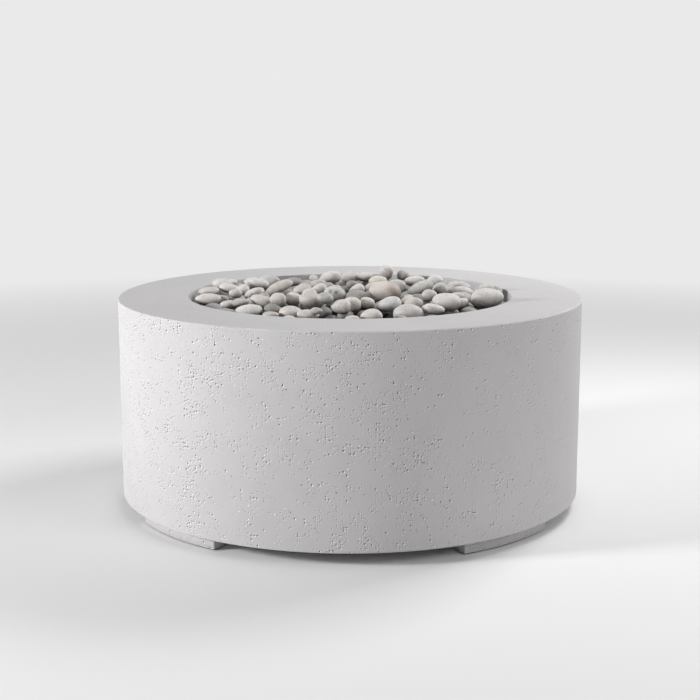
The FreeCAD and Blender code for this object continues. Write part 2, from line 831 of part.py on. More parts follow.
def control_knob():
    z = pocket_centre_height
    back = plate_front + valve_nut_height + push_travel + knob_back_gap
    front = back + knob_length
    skirt = along_y(knob_radius, back, back + knob_skirt, valve_x, z)
    grip = along_y(knob_grip_radius, back + knob_skirt, front, valve_x, z)
    edges = [e for e in grip.Edges if isinstance(e.Curve, Part.Circle)
             and abs(e.Curve.Center.y - front) < 0.01]
    grip = grip.makeFillet(knob_edge_round, edges)
    flutes = []
    for k in range(knob_flutes):
        place = polar(knob_grip_radius + knob_flute_offset, 360.0 / knob_flutes * (k + 0.5))
        flutes.append(along_y(knob_flute_radius, back + knob_skirt, front + 1, valve_x + place.x,
                              z + place.y))
    knob = skirt.fuse(grip.cut(flutes))
    well = along_y(nose_radius + knob_well_gap, back - 1, back + knob_skirt + knob_well_step, valve_x, z)
    return knob.cut([well, stem_solid(sliding_clearance)])


def igniter_housing():
    z = pocket_centre_height
    bezel_front = plate_front + igniter_bezel_height
    body = along_y(igniter_radius, bezel_front - igniter_depth, plate_front, igniter_x, z)
    body = body.fuse(along_y(igniter_bezel_radius, plate_front, bezel_front, igniter_x, z))
    body = body.fuse(along_y(terminal_radius, bezel_front - igniter_depth - terminal_length,
                             bezel_front - igniter_depth, igniter_x, z))
    well = along_y(button_radius + sliding_clearance, button_back() - button_travel - button_well_wall,
                   bezel_front + 1, igniter_x, z)
    return body.cut(well)


def button_back():
    return plate_front + igniter_bezel_height + button_stand - button_length


def igniter_button():
    front = button_back() + button_length
    button = along_y(button_radius, button_back(), front, igniter_x, pocket_centre_height)
    edges = [e for e in button.Edges if isinstance(e.Curve, Part.Circle)
             and abs(e.Curve.Center.y - front) < 0.01]
    return button.makeFillet(button_edge_round, edges)


def igniter_nut():
    centre = Vector(igniter_x, land_y - igniter_nut_height, pocket_centre_height)
    nut = hexagon(igniter_nut_flats, 0, igniter_nut_height, Vector(0, 1, 0), centre)
    return nut.cut(along_y(igniter_radius + thread_clearance, land_y - igniter_nut_height - 1, land_y + 1,
                           igniter_x, pocket_centre_height))


def bracket_bolt_y():
    return wall_inner_radius - bracket_bolt_inset


def bracket_bolt_sides():
    return (-bracket_bolt_spacing / 2, bracket_bolt_spacing / 2)


def inlet_bracket():
    """Steel strip bent into a step: foot on the drum's flange, riser, and a shelf reaching inwards."""
    inner = chain_radius - bracket_shelf_lip
    riser = chain_radius + bracket_riser_reach
    outer = wall_inner_radius - bracket_wall_gap
    low = flange_top
    high = bracket_shelf_height
    outline = [(inner, high), (riser, high), (riser, low + bracket_sheet), (outer, low + bracket_sheet),
               (outer, low), (riser - bracket_sheet, low), (riser - bracket_sheet, high - bracket_sheet),
               (inner, high - bracket_sheet)]
    points = [Vector(-bracket_width / 2, y, z) for y, z in outline]
    strip = Part.Face(Part.makePolygon(points + points[:1])).extrude(Vector(bracket_width, 0, 0))
    holes = [upright(bulkhead_radius + bolt_clearance, low, high + 1, 0, chain_radius)]
    holes += [upright(bracket_bolt_radius + bolt_clearance, low - 1, low + bracket_sheet + 1, side,
                      bracket_bolt_y()) for side in bracket_bolt_sides()]
    return turned(strip.cut(holes), chain_turn)


def bracket_bolts():
    bolts = []
    for side in bracket_bolt_sides():
        place = Vector(side, bracket_bolt_y(), 0)
        top = flange_top + bracket_sheet
        head = hexagon(bracket_bolt_flats, top, top + bracket_bolt_head, centre=place)
        shank = upright(bracket_bolt_radius, drum_base - bracket_nut_height - bracket_bolt_tail, top,
                        place.x, place.y)
        bolts.append(turned(head.fuse(shank), chain_turn))
    return bolts


def bracket_nuts():
    nuts = []
    for side in bracket_bolt_sides():
        place = Vector(side, bracket_bolt_y(), 0)
        nut = hexagon(bracket_bolt_flats, drum_base - bracket_nut_height, drum_base, centre=place)
        hole = upright(bracket_bolt_radius + thread_clearance, 0, drum_base + 1, place.x, place.y)
        nuts.append(turned(nut.cut(hole), chain_turn))
    return nuts


def on_chain(radius, low, high):
    return upright(radius, low, high, 0, chain_radius)


def inlet_fitting():
    place = Vector(0, chain_radius, 0)
    shelf = bracket_shelf_height
    tip = shelf - bracket_sheet - inlet_locknut_height - inlet_thread_length
    body = hexagon(inlet_hex_flats, shelf, shelf + inlet_hex_height, centre=place)
    body = body.fuse(on_chain(bulkhead_radius, tip + inlet_thread_length, shelf))
    body = body.fuse(on_chain(inlet_radius, tip, tip + inlet_thread_length))
    body = body.fuse(Part.makeCone(inlet_radius - inlet_cone_step, inlet_radius, inlet_cone_length,
                                   place + Vector(0, 0, tip - inlet_cone_length)))
    spigot_top = shelf + inlet_hex_height + socket_depth
    body = body.fuse(on_chain(socket_radius, shelf + inlet_hex_height, spigot_top))
    bore = on_chain(inlet_bore, tip - inlet_cone_length - 1, spigot_top + 1)
    return turned(body.cut(bore), chain_turn)


def inlet_locknut():
    high = bracket_shelf_height - bracket_sheet
    low = high - inlet_locknut_height
    nut = hexagon(inlet_hex_flats, low, high, centre=Vector(0, chain_radius, 0))
    return turned(nut.cut(on_chain(bulkhead_radius + thread_clearance, low - 1, high + 1)), chain_turn)


def shutoff_body():
    centre = Vector(0, chain_radius, shutoff_centre)
    body = on_chain(shutoff_barrel_radius, shutoff_base, shutoff_top)
    body = body.fuse(Part.makeSphere(shutoff_belly_radius, centre))
    body = body.fuse(along_y(shutoff_neck_radius, chain_radius - shutoff_neck_reach, chain_radius, 0,
                             shutoff_centre))
    hollow = [on_chain(socket_radius + thread_clearance, shutoff_base - 1, shutoff_base + socket_depth),
              on_chain(socket_radius + thread_clearance, shutoff_top - socket_depth, shutoff_top + 1),
              on_chain(shutoff_bore, shutoff_base, shutoff_top),
              Part.makeSphere(ball_radius + sliding_clearance, centre),
              along_y(shutoff_stem_radius + sliding_clearance, chain_radius - shutoff_neck_reach - 1,
                      chain_radius, 0, shutoff_centre)]
    return turned(body.cut(hollow), chain_turn)


def shutoff_ball():
    centre = Vector(0, chain_radius, shutoff_centre)
    ball = Part.makeSphere(ball_radius, centre)
    ball = ball.cut(on_chain(shutoff_bore, shutoff_base, shutoff_top))
    flat = block(-ball_radius, ball_radius, chain_radius - 2 * ball_radius, chain_radius - ball_flat,
                 shutoff_centre - ball_radius, shutoff_centre + ball_radius)
    return turned(ball.cut(flat), chain_turn)


def lever_face():
    """Inner face of the lever, just clear of the neck."""
    return chain_radius - shutoff_neck_reach - lever_gap


def shutoff_stem():
    back = lever_face() - lever_thickness - lever_nut_height - lever_stem_tail
    stem = along_y(shutoff_stem_radius, back, chain_radius - ball_flat, 0, shutoff_centre)
    return turned(stem, chain_turn)


def shutoff_lever():
    front = lever_face()
    back = front - lever_thickness
    hub = along_y(lever_hub_radius, back, front, 0, shutoff_centre)
    arm = block(-lever_width / 2, lever_width / 2, back, front, shutoff_centre - lever_length,
                shutoff_centre)
    ends = [e for e in arm.Edges if abs(e.Vertexes[0].Y - e.Vertexes[1].Y) > 0.1
            and e.Vertexes[0].Z < shutoff_centre - 1]
    arm = arm.makeFillet(lever_end_round, ends)
    hole = along_y(shutoff_stem_radius + thread_clearance, back - 1, front + 1, 0, shutoff_centre)
    return turned(hub.fuse(arm).cut(hole), chain_turn)


def lever_nut():
    back = lever_face() - lever_thickness - lever_nut_height
    nut = hexagon(lever_nut_flats, 0, lever_nut_height, Vector(0, 1, 0),
                  Vector(0, back, shutoff_centre))
    hole = along_y(shutoff_stem_radius + thread_clearance, back - 1, back + lever_nut_height + 1, 0,
                   shutoff_centre)
    return turned(nut.cut(hole), chain_turn)


def gas_regulator():
    """Low-pressure regulator, made about its own axis and then set on the chain."""
    band_low = regulator_base + regulator_bowl_height
    band_high = band_low + regulator_band_height
    bowl = Part.makeCone(regulator_base_radius, regulator_radius, regulator_bowl_height,
                         Vector(0, 0, regulator_base))
    cap = Part.makeCone(regulator_radius - regulator_cap_step, regulator_cap_radius, regulator_cap_height,
                        Vector(0, 0, band_high))
    body = bowl.fuse([upright(regulator_radius, band_low, band_high), cap,
                      upright(regulator_neck_radius, shutoff_top, regulator_base),
                      upright(socket_radius, shutoff_top - socket_depth, shutoff_top),
                      along_x(flare_radius + regulator_outlet_wall, 0, regulator_radius, 0,
                              regulator_outlet_height),
                      along_x(flare_radius, 0, regulator_radius + flare_length, 0,
                              regulator_outlet_height)])
    body.translate(Vector(0, chain_radius, 0))
    return turned(body, chain_turn)


def supply_hose_nuts():
    first = chain_centre + chain_side * regulator_radius + Vector(0, 0, regulator_outlet_height)
    return [flare_nut(first, chain_side), flare_nut(valve_inlet(), Vector(0, 0, -1))]


def supply_hose():
    skip = flare_nut_length + ferrule_length
    start = chain_centre + chain_side * (regulator_radius + skip) + Vector(0, 0, regulator_outlet_height)
    end = valve_inlet() - Vector(0, 0, skip)
    first = start + chain_side * supply_hose_straights[0]
    last = end - Vector(0, 0, supply_hose_straights[1])
    way = last - first
    bend = [first + Vector(way.x * across, way.y * across, way.z * up)
            for across, up in supply_hose_bend_shares]
    return tube("supply_hose", [start, first] + bend + [last, end], hose_radius)


def burner_hose_start():
    return Vector(valve_x, land_y - valve_length, pocket_centre_height)


def burner_hose_nuts():
    return [flare_nut(burner_hose_start(), Vector(0, -1, 0)),
            flare_nut(Vector(0, 0, spud_flare_top), Vector(0, 0, -1))]


def burner_hose():
    skip = flare_nut_length + ferrule_length
    start = burner_hose_start() - Vector(0, skip, 0)
    end = Vector(0, 0, burner_hose_end)
    low = burner_hose_end - burner_hose_sag
    fall = [Vector(start.x * side, start.y * (1 - way), low + (start.z - low) * height)
            for way, side, height in burner_hose_fall_shares]
    rise = [Vector(0, start.y * (1 - way), low + (end.z - low) * height)
            for way, height in burner_hose_rise_shares]
    return tube("burner_hose", [start] + fall + rise + [end], hose_radius)


def lead_route(start, end, shares):
    """Points from start to end by their shares of the way across, back and up from the end's height."""
    return [start] + [Vector(start.x + (end.x - start.x) * across, start.y + (end.y - start.y) * back,
                             end.z + (start.z - end.z) * up) for across, back, up in shares] + [end]


def ignition_lead():
    start = Vector(electrode_x, probe_y, pan_underside - insulator_drop - electrode_tail)
    end = Vector(igniter_x, plate_front + igniter_bezel_height - igniter_depth - terminal_length,
                 pocket_centre_height)
    return tube("ignition_lead", lead_route(start, end, ignition_lead_shares), lead_radius)


def sensor_lead():
    start = Vector(sensor_x, probe_y, pan_underside - sensor_drop)
    end = Vector(valve_x + sensor_port_x, land_y - valve_length - sensor_port_length,
                 pocket_centre_height + sensor_port_rise)
    return tube("sensor_lead", lead_route(start, end, sensor_lead_shares), lead_radius)


# River stones: each row is one stone that shows in the heap, as
# x, y, length, width, thickness, turn about Z, tip of its long axis, roll about it
shown_stones = [
    (-320, -90, 60, 44, 26, 10, 0, 5), (-263, -150, 40, 32, 20, 20, 0, 0),
    (-234, -167, 38, 30, 20, 0, -10, 0), (-268, -198, 50, 34, 14, -35, 0, 0),
    (-207, -230, 63, 46, 24, -12, 0, 8), (-158, -242, 48, 36, 22, -8, 14, 0),
    (-147, -296, 36, 30, 18, 0, 0, 0), (-288, -48, 28, 26, 26, 0, 0, 0),
    (-260, -60, 32, 28, 22, 30, 0, 0), (-336, 42, 58, 42, 24, 60, 0, 0),
    (-293, 55, 48, 38, 24, 0, 8, 0), (-316, 116, 48, 40, 28, 40, 0, 0),
    (-245, -8, 34, 30, 24, 0, -20, 0), (-218, -22, 49, 34, 26, 0, -20, 0),
    (-217, -110, 40, 34, 36, 10, 0, 0), (-186, -156, 58, 40, 27, -5, 15, 0),
    (-188, -62, 30, 26, 22, 0, 0, 0), (-162, -24, 74, 34, 28, 5, -28, 0),
    (-232, 140, 54, 40, 26, 0, 18, 0), (-208, 210, 48, 40, 32, -20, 0, 0),
    (-276, 128, 36, 30, 20, 0, 0, 0), (-296, 168, 34, 28, 20, 30, 0, 0),
    (-258, 190, 44, 38, 34, 45, 0, 0), (-228, 250, 44, 38, 38, 30, 0, 0),
    (-150, 210, 46, 38, 26, 10, 0, 0), (-112, -270, 51, 44, 32, 0, 0, 0),
    (-116, -176, 38, 34, 32, 0, 0, 20), (-142, -190, 36, 32, 32, 10, 0, 0),
    (-126, -44, 34, 30, 20, 0, 0, 0), (-108, 46, 50, 42, 40, 15, -8, 0),
    (-66, -215, 57, 48, 36, 0, 0, 0), (-90, -106, 36, 32, 26, 0, 0, 0),
    (-76, -36, 42, 32, 26, 0, -20, 0), (-86, 84, 38, 32, 24, 0, 0, 0),
    (-54, 194, 56, 46, 32, 0, -8, 0), (-36, -98, 50, 44, 33, 0, 5, 0),
    (-30, 18, 32, 27, 20, 0, 0, 0), (-5, -258, 45, 40, 33, 0, 0, 0),
    (-34, -262, 38, 34, 26, 0, 10, 0), (-28, -186, 32, 27, 18, 0, 0, 0),
    (16, -222, 40, 36, 32, 0, 0, 15), (-78, -316, 50, 38, 22, -14, 0, 0),
    (-52, -330, 26, 22, 16, 0, 0, 0), (22, -326, 34, 28, 20, 4, 0, 0),
    (22, -112, 50, 42, 36, 0, 0, 0), (-18, 290, 50, 42, 34, 0, 0, 0),
    (2, 62, 32, 28, 24, 0, 0, 0), (22, 12, 40, 32, 26, 0, -16, 0),
    (24, 232, 46, 38, 26, 10, 0, 0), (40, 304, 56, 44, 36, -5, 0, 0),
    (84, 286, 36, 34, 38, 0, 12, 0), (112, 298, 32, 30, 28, 0, 0, 0),
    (56, 146, 49, 38, 28, 0, 0, 0), (56, 70, 40, 34, 26, 20, 0, 0),
    (84, -114, 74, 60, 46, 0, 0, 0), (114, 26, 44, 40, 32, 0, 0, 10),
    (144, 196, 52, 40, 27, 5, 0, 0), (164, -4, 66, 44, 32, 4, -20, 0),
    (204, 92, 38, 36, 32, 0, 0, 0), (214, 34, 38, 34, 36, 0, 0, 0),
    (188, 258, 46, 36, 20, -30, 0, 0), (132, -120, 30, 26, 24, 0, 0, 0),
    (156, -166, 44, 38, 32, -5, 0, 0), (184, -104, 36, 32, 28, 0, 0, 0),
    (42, -190, 34, 32, 28, 0, 0, 0), (46, -250, 40, 34, 32, 0, -8, 0),
    (60, -304, 50, 40, 32, 8, 0, 0), (102, -232, 56, 46, 32, 0, -18, 0),
    (138, -254, 67, 54, 44, 8, 0, 0), (186, -240, 54, 42, 24, 30, 10, 0),
    (222, -172, 66, 58, 42, 10, 0, 0), (252, 156, 72, 50, 32, -40, 0, 0),
    (262, 36, 60, 48, 32, 10, 0, 0), (296, 96, 34, 32, 36, 0, 0, 0),
    (324, 60, 54, 40, 30, 70, 0, 0), (306, -112, 86, 56, 44, 36, 0, 0),
    (250, -100, 32, 28, 20, 0, 0, 0), (240, -232, 42, 30, 16, 35, 0, 0),
    (92, 296, 50, 44, 16, 15, 0, 0)]

# Sizes of the random stones: longest and shortest length, then width and thickness as shares of it
lower_length = (52.0, 36.0)
bedding_length = (58.0, 26.0)
chip_length = (36.0, 24.0)
width_share = (0.68, 0.9)
thickness_share = (0.46, 0.66)
tip_limit = 20.0

# Bedding stones lie only behind this line and inside this circle, which keeps the front row low
bedding_front = -170.0
bedding_radius = 300.0

# A chip that would stand more than this above the rim is left out
chip_ceiling = 4.0

# How the drop of one stone on another is worked out
normal_rounds = 5
normal_step = 0.018
drop_rounds = 7
drop_slack = 0.05
flattest_contact = 0.05


class Stone:
    """A pebble as an ellipsoid: centre, rotation and half lengths, with its support matrix."""

    def __init__(self, x, y, length, width, thickness, turn, tip, roll):
        self.half = (length / 2, width / 2, thickness / 2)
        self.rotation = Rotation(turn, tip, roll)
        axes = [self.rotation.multVec(v) for v in (Vector(1, 0, 0), Vector(0, 1, 0), Vector(0, 0, 1))]
        spread = [h * h for h in self.half]
        self.axes = axes

        def entry(i, j):
            return sum(s * a[i] * a[j] for s, a in zip(spread, axes))

        self.matrix = (entry(0, 0), entry(1, 1), entry(2, 2), entry(0, 1), entry(0, 2), entry(1, 2))
        self.reach = max(self.half)
        self.rise = math.sqrt(self.matrix[2])
        self.x = x
        self.y = y
        self.z = 0.0

    def extent(self, nx, ny, nz):
        """How far the stone reaches from its centre along a unit direction."""
        xx, yy, zz, xy, xz, yz = self.matrix
        return math.sqrt(xx * nx * nx + yy * ny * ny + zz * nz * nz
                         + 2 * (xy * nx * ny + xz * nx * nz + yz * ny * nz))

    def keep_inside(self):
        """Move the stone in until it is clear of the collar."""
        distance = math.hypot(self.x, self.y)
        if distance < 1:
            return
        nx, ny = self.x / distance, self.y / distance
        limit = opening_radius - stone_wall_gap - self.extent(nx, ny, 0)
        if distance > limit:
            self.x *= limit / distance
            self.y *= limit / distance

    def solid(self):
        grow = Matrix()
        grow.scale(*self.half)
        ellipsoid = Part.makeSphere(1.0).transformGeometry(grow)
        ellipsoid.Placement = Placement(Vector(self.x, self.y, self.z), self.rotation)
        return ellipsoid


def separation(upper, lower, dz, normal):
    """Gap between two ellipsoids along the best direction found, and that direction."""
    dx = upper.x - lower.x
    dy = upper.y - lower.y
    ax, ay, az, axy, axz, ayz = upper.matrix
    bx, by, bz, bxy, bxz, byz = lower.matrix
    nx, ny, nz = normal
    for _ in range(normal_rounds):
        px = ax * nx + axy * ny + axz * nz
        py = axy * nx + ay * ny + ayz * nz
        pz = axz * nx + ayz * ny + az * nz
        qx = bx * nx + bxy * ny + bxz * nz
        qy = bxy * nx + by * ny + byz * nz
        qz = bxz * nx + byz * ny + bz * nz
        up = 1 / math.sqrt(px * nx + py * ny + pz * nz)
        uq = 1 / math.sqrt(qx * nx + qy * ny + qz * nz)
        gx = dx - px * up - qx * uq
        gy = dy - py * up - qy * uq
        gz = dz - pz * up - qz * uq
        gap = gx * nx + gy * ny + gz * nz
        nx += normal_step * (gx - gap * nx)
        ny += normal_step * (gy - gap * ny)
        nz += normal_step * (gz - gap * nz)
        size = 1 / math.sqrt(nx * nx + ny * ny + nz * nz)
        nx *= size
        ny *= size
        nz *= size
    gap = dx * nx + dy * ny + dz * nz - upper.extent(nx, ny, nz) - lower.extent(nx, ny, nz)
    return gap, (nx, ny, nz)


def contact_height(upper, lower):
    """Lowest height at which the upper stone is clear of the lower one, or None if it passes it."""
    reach = upper.reach + lower.reach + stone_gap
    dx = upper.x - lower.x
    dy = upper.y - lower.y
    if dx * dx + dy * dy >= reach * reach:
        return None
    dz = upper.rise + lower.rise + stone_gap
    size = math.sqrt(dx * dx + dy * dy + dz * dz)
    normal = (dx / size, dy / size, dz / size)
    for _ in range(drop_rounds):
        gap, normal = separation(upper, lower, dz, normal)
        spare = gap - stone_gap
        if normal[2] < flattest_contact:
            return None if side_gap(upper, lower, dx, dy, normal) >= stone_gap else lower.z + dz
        if spare < drop_slack:
            break
        dz -= spare / normal[2]
    return lower.z + dz


def side_gap(upper, lower, dx, dy, normal):
    """Gap between two ellipsoids along the level direction nearest to the normal."""
    size = math.hypot(normal[0], normal[1])
    nx, ny = normal[0] / size, normal[1] / size
    return dx * nx + dy * ny - upper.extent(nx, ny, 0) - lower.extent(nx, ny, 0)


def bed_height(stone):
    """Height at which the stone lies on the lava rock's dome."""
    centre, radius = bed_sphere()
    z = centre + math.sqrt(radius ** 2 - stone.x ** 2 - stone.y ** 2)
    nx, ny = stone.x / radius, stone.y / radius
    nz = (z - centre) / radius
    return z + (stone.extent(nx, ny, nz) + stone_gap) / nz


def resting_height(stone, heap):
    highest = bed_height(stone)
    for other in heap:
        if abs(other.x - stone.x) < neighbour_reach and abs(other.y - stone.y) < neighbour_reach:
            height = contact_height(stone, other)
            if height is not None and height > highest:
                highest = height
    return highest


def settle(stone, heap, step, rounds):
    """Let a stone slip sideways by small steps while that takes it lower."""
    stone.keep_inside()
    stone.z = resting_height(stone, heap)
    for _ in range(rounds):
        best = (stone.z, stone.x, stone.y)
        home = (stone.x, stone.y)
        for dx, dy in ((step, 0), (-step, 0), (0, step), (0, -step)):
            stone.x, stone.y = home[0] + dx, home[1] + dy
            stone.keep_inside()
            height = resting_height(stone, heap)
            if height < best[0] - drop_slack:
                best = (height, stone.x, stone.y)
        stone.z, stone.x, stone.y = best
        if (stone.x, stone.y) == home:
            step /= 2
    heap.append(stone)


def random_stone(chance, lengths, share):
    length = lengths[0] + (lengths[1] - lengths[0]) * share
    width = length * chance.uniform(*width_share)
    thickness = length * chance.uniform(*thickness_share)
    distance = (opening_radius - length / 2) * math.sqrt(chance.random())
    place = polar(distance, chance.uniform(0, 360))
    return Stone(place.x, place.y, length, width, thickness, chance.uniform(0, 180),
                 chance.uniform(-tip_limit, tip_limit), chance.uniform(-tip_limit, tip_limit))


def lowest_of(chance, heap, lengths, share, tries):
    """Try a few places for a stone and keep the one where it sinks deepest below the heap's top."""
    best = None
    for _ in range(tries):
        stone = random_stone(chance, lengths, share)
        stone.keep_inside()
        stone.z = resting_height(stone, heap)
        height = stone.z - bed_height(stone)
        if best is None or height < best[0]:
            best = (height, stone)
    return best[1]


def stone_heap():
    """Drop a lower layer, bedding stones, the stones that show, and chips into the gaps left."""
    chance = random.Random(stone_seed)
    heap = []
    for k in range(lower_stone_count):
        stone = lowest_of(chance, heap, lower_length, k / lower_stone_count, lower_tries)
        settle(stone, heap, lower_slip, slip_rounds)
    lower_end = len(heap)
    for k in range(bedding_count):
        stone = lowest_of(chance, heap, bedding_length, k / bedding_count, gap_tries)
        if stone.y > bedding_front and math.hypot(stone.x, stone.y) < bedding_radius:
            settle(stone, heap, slip, gap_slip_rounds)
    bedding_end = len(heap)
    for row in sorted(shown_stones, key=lambda row: row[2], reverse=True):
        settle(Stone(*row), heap, slip, slip_rounds)
    shown_end = len(heap)
    for k in range(chip_count):
        stone = lowest_of(chance, heap, chip_length, k / chip_count, gap_tries)
        settle(stone, heap, slip, gap_slip_rounds)
        if stone.z + stone.rise > drum_top + chip_ceiling:
            heap.pop()
    filling = heap[lower_end:bedding_end] + heap[shown_end:]
    return heap[:lower_end], heap[bedding_end:shown_end], filling


def write(name, solids):
    shape = solids[0] if len(solids) == 1 else Part.makeCompound(solids)
    shape.exportStep(f"parts/{name}.step")


os.makedirs("parts", exist_ok=True)
write("concrete_drum", [concrete_drum()])
for number, angle in enumerate(foot_angles(), 1):
    write(f"foot_{number}", [foot(angle)])
    write(f"foot_pad_{number}", [foot_pad(angle)])
write("foot_bolts", foot_bolts())
write("foot_washers", foot_washers())
write("foot_nuts", foot_nuts())
write("burner_pan", [burner_pan()])
write("ring_burner", [ring_burner()])
write("burner_stands", burner_stands())
write("stand_screws", stand_screws())
write("feed_nipple", [feed_nipple()])
write("pan_locknut", [pan_locknut()])
write("air_mixer", [air_mixer()])
write("air_shutter", [air_shutter()])
write("orifice_spud", [orifice_spud()])
write("rock_guard", [rock_guard()])
write("probe_shelf", [probe_shelf()])
write("electrode_insulator", [electrode_insulator()])
write("spark_electrode", [spark_electrode()])
write("flame_sensor", [flame_sensor()])
write("lava_rock_bed", [lava_rock_bed()])
lower_stones, top_stones, small_stones = stone_heap()
write("river_stones_lower", [stone.solid() for stone in lower_stones])
write("river_stones_top", [stone.solid() for stone in top_stones])
write("river_stones_small", [stone.solid() for stone in small_stones])
write("control_plate", [control_plate()])
write("plate_screws", plate_screws())
write("plate_inserts", plate_inserts())
write("gas_valve_body", [gas_valve_body()])
write("valve_nut", [valve_nut()])
write("valve_plunger", [valve_plunger()])
write("valve_stem", [stem_solid(0.0)])
write("control_knob", [control_knob()])
write("igniter_housing", [igniter_housing()])
write("igniter_nut", [igniter_nut()])
write("igniter_button", [igniter_button()])
write("inlet_bracket", [inlet_bracket()])
write("bracket_bolts", bracket_bolts())
write("bracket_nuts", bracket_nuts())
write("inlet_fitting", [inlet_fitting()])
write("inlet_locknut", [inlet_locknut()])
write("shutoff_body", [shutoff_body()])
write("shutoff_ball", [shutoff_ball()])
write("shutoff_stem", [shutoff_stem()])
write("shutoff_lever", [shutoff_lever()])
write("lever_nut", [lever_nut()])
write("gas_regulator", [gas_regulator()])
write("supply_hose_nuts", supply_hose_nuts())
write("supply_hose", [supply_hose()])
write("burner_hose_nuts", burner_hose_nuts())
write("burner_hose", [burner_hose()])
write("ignition_lead", [ignition_lead()])
write("sensor_lead", [sensor_lead()])
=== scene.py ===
import math

import bpy
import numpy as np
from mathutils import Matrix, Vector


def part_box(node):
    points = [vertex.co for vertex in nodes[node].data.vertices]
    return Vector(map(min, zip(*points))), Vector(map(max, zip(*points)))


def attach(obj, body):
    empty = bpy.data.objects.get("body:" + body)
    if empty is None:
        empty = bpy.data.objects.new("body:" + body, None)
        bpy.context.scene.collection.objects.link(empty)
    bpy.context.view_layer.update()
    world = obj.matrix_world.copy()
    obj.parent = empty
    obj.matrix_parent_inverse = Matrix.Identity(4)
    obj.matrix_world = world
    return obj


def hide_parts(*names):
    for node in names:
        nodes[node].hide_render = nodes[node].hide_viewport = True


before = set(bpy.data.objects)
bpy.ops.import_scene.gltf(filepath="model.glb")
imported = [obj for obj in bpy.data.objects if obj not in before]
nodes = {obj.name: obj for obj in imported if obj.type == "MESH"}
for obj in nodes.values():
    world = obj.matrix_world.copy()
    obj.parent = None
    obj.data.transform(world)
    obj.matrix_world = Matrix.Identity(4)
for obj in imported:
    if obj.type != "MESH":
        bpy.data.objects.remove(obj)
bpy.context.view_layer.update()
bpy.context.scene.view_settings.view_transform = "Standard"


# The studio the table is shown in
# A wide pale floor under a plain pale sky, a strong soft lamp far out at the left, weaker ones
# above and at the right, and a camera a little right of the front that looks down onto the rim.
def paint(red, green, blue):
    """A colour read off a colour card, 0 to 255 a channel, as the linear values a shader takes."""
    card = np.array([red, green, blue]) / 255.0
    linear = np.where(card <= 0.04045, card / 12.92, ((card + 0.055) / 1.055) ** 2.4)
    return (*(float(x) for x in linear), 1.0)


def node(tree, kind, inputs=None, **settings):
    """A shader node with its settings made, and each named input set or joined to an output."""
    made = tree.nodes.new(kind)
    for key, value in settings.items():
        setattr(made, key, value)
    for key, value in (inputs or {}).items():
        if isinstance(value, bpy.types.NodeSocket):
            tree.links.new(value, made.inputs[key])
        else:
            made.inputs[key].default_value = value
    return made


def spread(tree, value, low, high, out_low=0.0, out_high=1.0):
    """The value stretched so that low gives out_low and high gives out_high, and held there."""
    return node(tree, "ShaderNodeMapRange", {"Value": value, "From Min": low, "From Max": high,
                                             "To Min": out_low, "To Max": out_high}).outputs[0]


def sums(tree, way, first, second):
    """One arithmetic step on two values."""
    return node(tree, "ShaderNodeMath", {0: first, 1: second}, operation=way).outputs[0]


def object_place(tree):
    """Where a point of the surface is, in metres, in the table's own frame."""
    return node(tree, "ShaderNodeTexCoord").outputs["Object"]


def shown_rays(tree):
    """1 for rays of the camera and of what mirrors and clear things show, 0 for rays that carry
    light."""
    path = node(tree, "ShaderNodeLightPath")
    mirrored = sums(tree, "MAXIMUM", path.outputs["Is Glossy Ray"],
                    path.outputs["Is Transmission Ray"])
    return sums(tree, "MAXIMUM", path.outputs["Is Camera Ray"], mirrored)


def length_of(tree, vector):
    """How long a vector is."""
    return node(tree, "ShaderNodeVectorMath", {0: vector}, operation="LENGTH").outputs["Value"]


def finish_named(name):
    """A new material with one Principled shader, and its node tree and shader."""
    made = bpy.data.materials.new(name)
    made.use_nodes = True
    return made, made.node_tree, made.node_tree.nodes["Principled BSDF"]


def mesh_object(name, points, faces, smooth=True):
    """A mesh from an array of points and an array of faces with equal corner counts."""
    mesh = bpy.data.meshes.new(name)
    mesh.vertices.add(len(points))
    mesh.vertices.foreach_set("co", np.asarray(points, np.float32).ravel())
    mesh.loops.add(faces.size)
    mesh.loops.foreach_set("vertex_index", np.asarray(faces, np.int32).ravel())
    mesh.polygons.add(len(faces))
    mesh.polygons.foreach_set("loop_start",
                              np.arange(0, faces.size, faces.shape[1], dtype=np.int32))
    mesh.polygons.foreach_set("use_smooth", np.full(len(faces), smooth))
    mesh.update(calc_edges=True)
    made = bpy.data.objects.new(name, mesh)
    bpy.context.scene.collection.objects.link(made)
    return made


floor_reach = 30.0
floor_step = 5
floor_roughness = 0.9
floor_fade = (1.3, 4.2)
floor_paint = paint(241, 241, 241)
sky_paint = paint(234, 234, 234)
sky_light = 0.29

angles = np.radians(np.arange(0, 360, floor_step))
floor_ring = floor_reach * np.stack([np.cos(angles), np.sin(angles), np.zeros_like(angles)], 1)
around = np.arange(len(angles))
floor = mesh_object("studio_floor", np.vstack([[[0, 0, 0]], floor_ring]),
                    np.stack([np.zeros_like(around), around + 1,
                              (around + 1) % len(angles) + 1], 1))
floor_finish, tree, shader = finish_named("studio_floor_paint")
shader.inputs["Base Color"].default_value = floor_paint
shader.inputs["Roughness"].default_value = floor_roughness
reach = length_of(tree, object_place(tree))
glow = node(tree, "ShaderNodeEmission", {"Color": sky_paint, "Strength": 1.0})
far_share = sums(tree, "MULTIPLY", spread(tree, reach, *floor_fade), shown_rays(tree))
fade = node(tree, "ShaderNodeMixShader", {0: far_share, 1: shader.outputs[0],
                                          2: glow.outputs[0]})
tree.links.new(fade.outputs[0], tree.nodes["Material Output"].inputs["Surface"])
floor.data.materials.append(floor_finish)

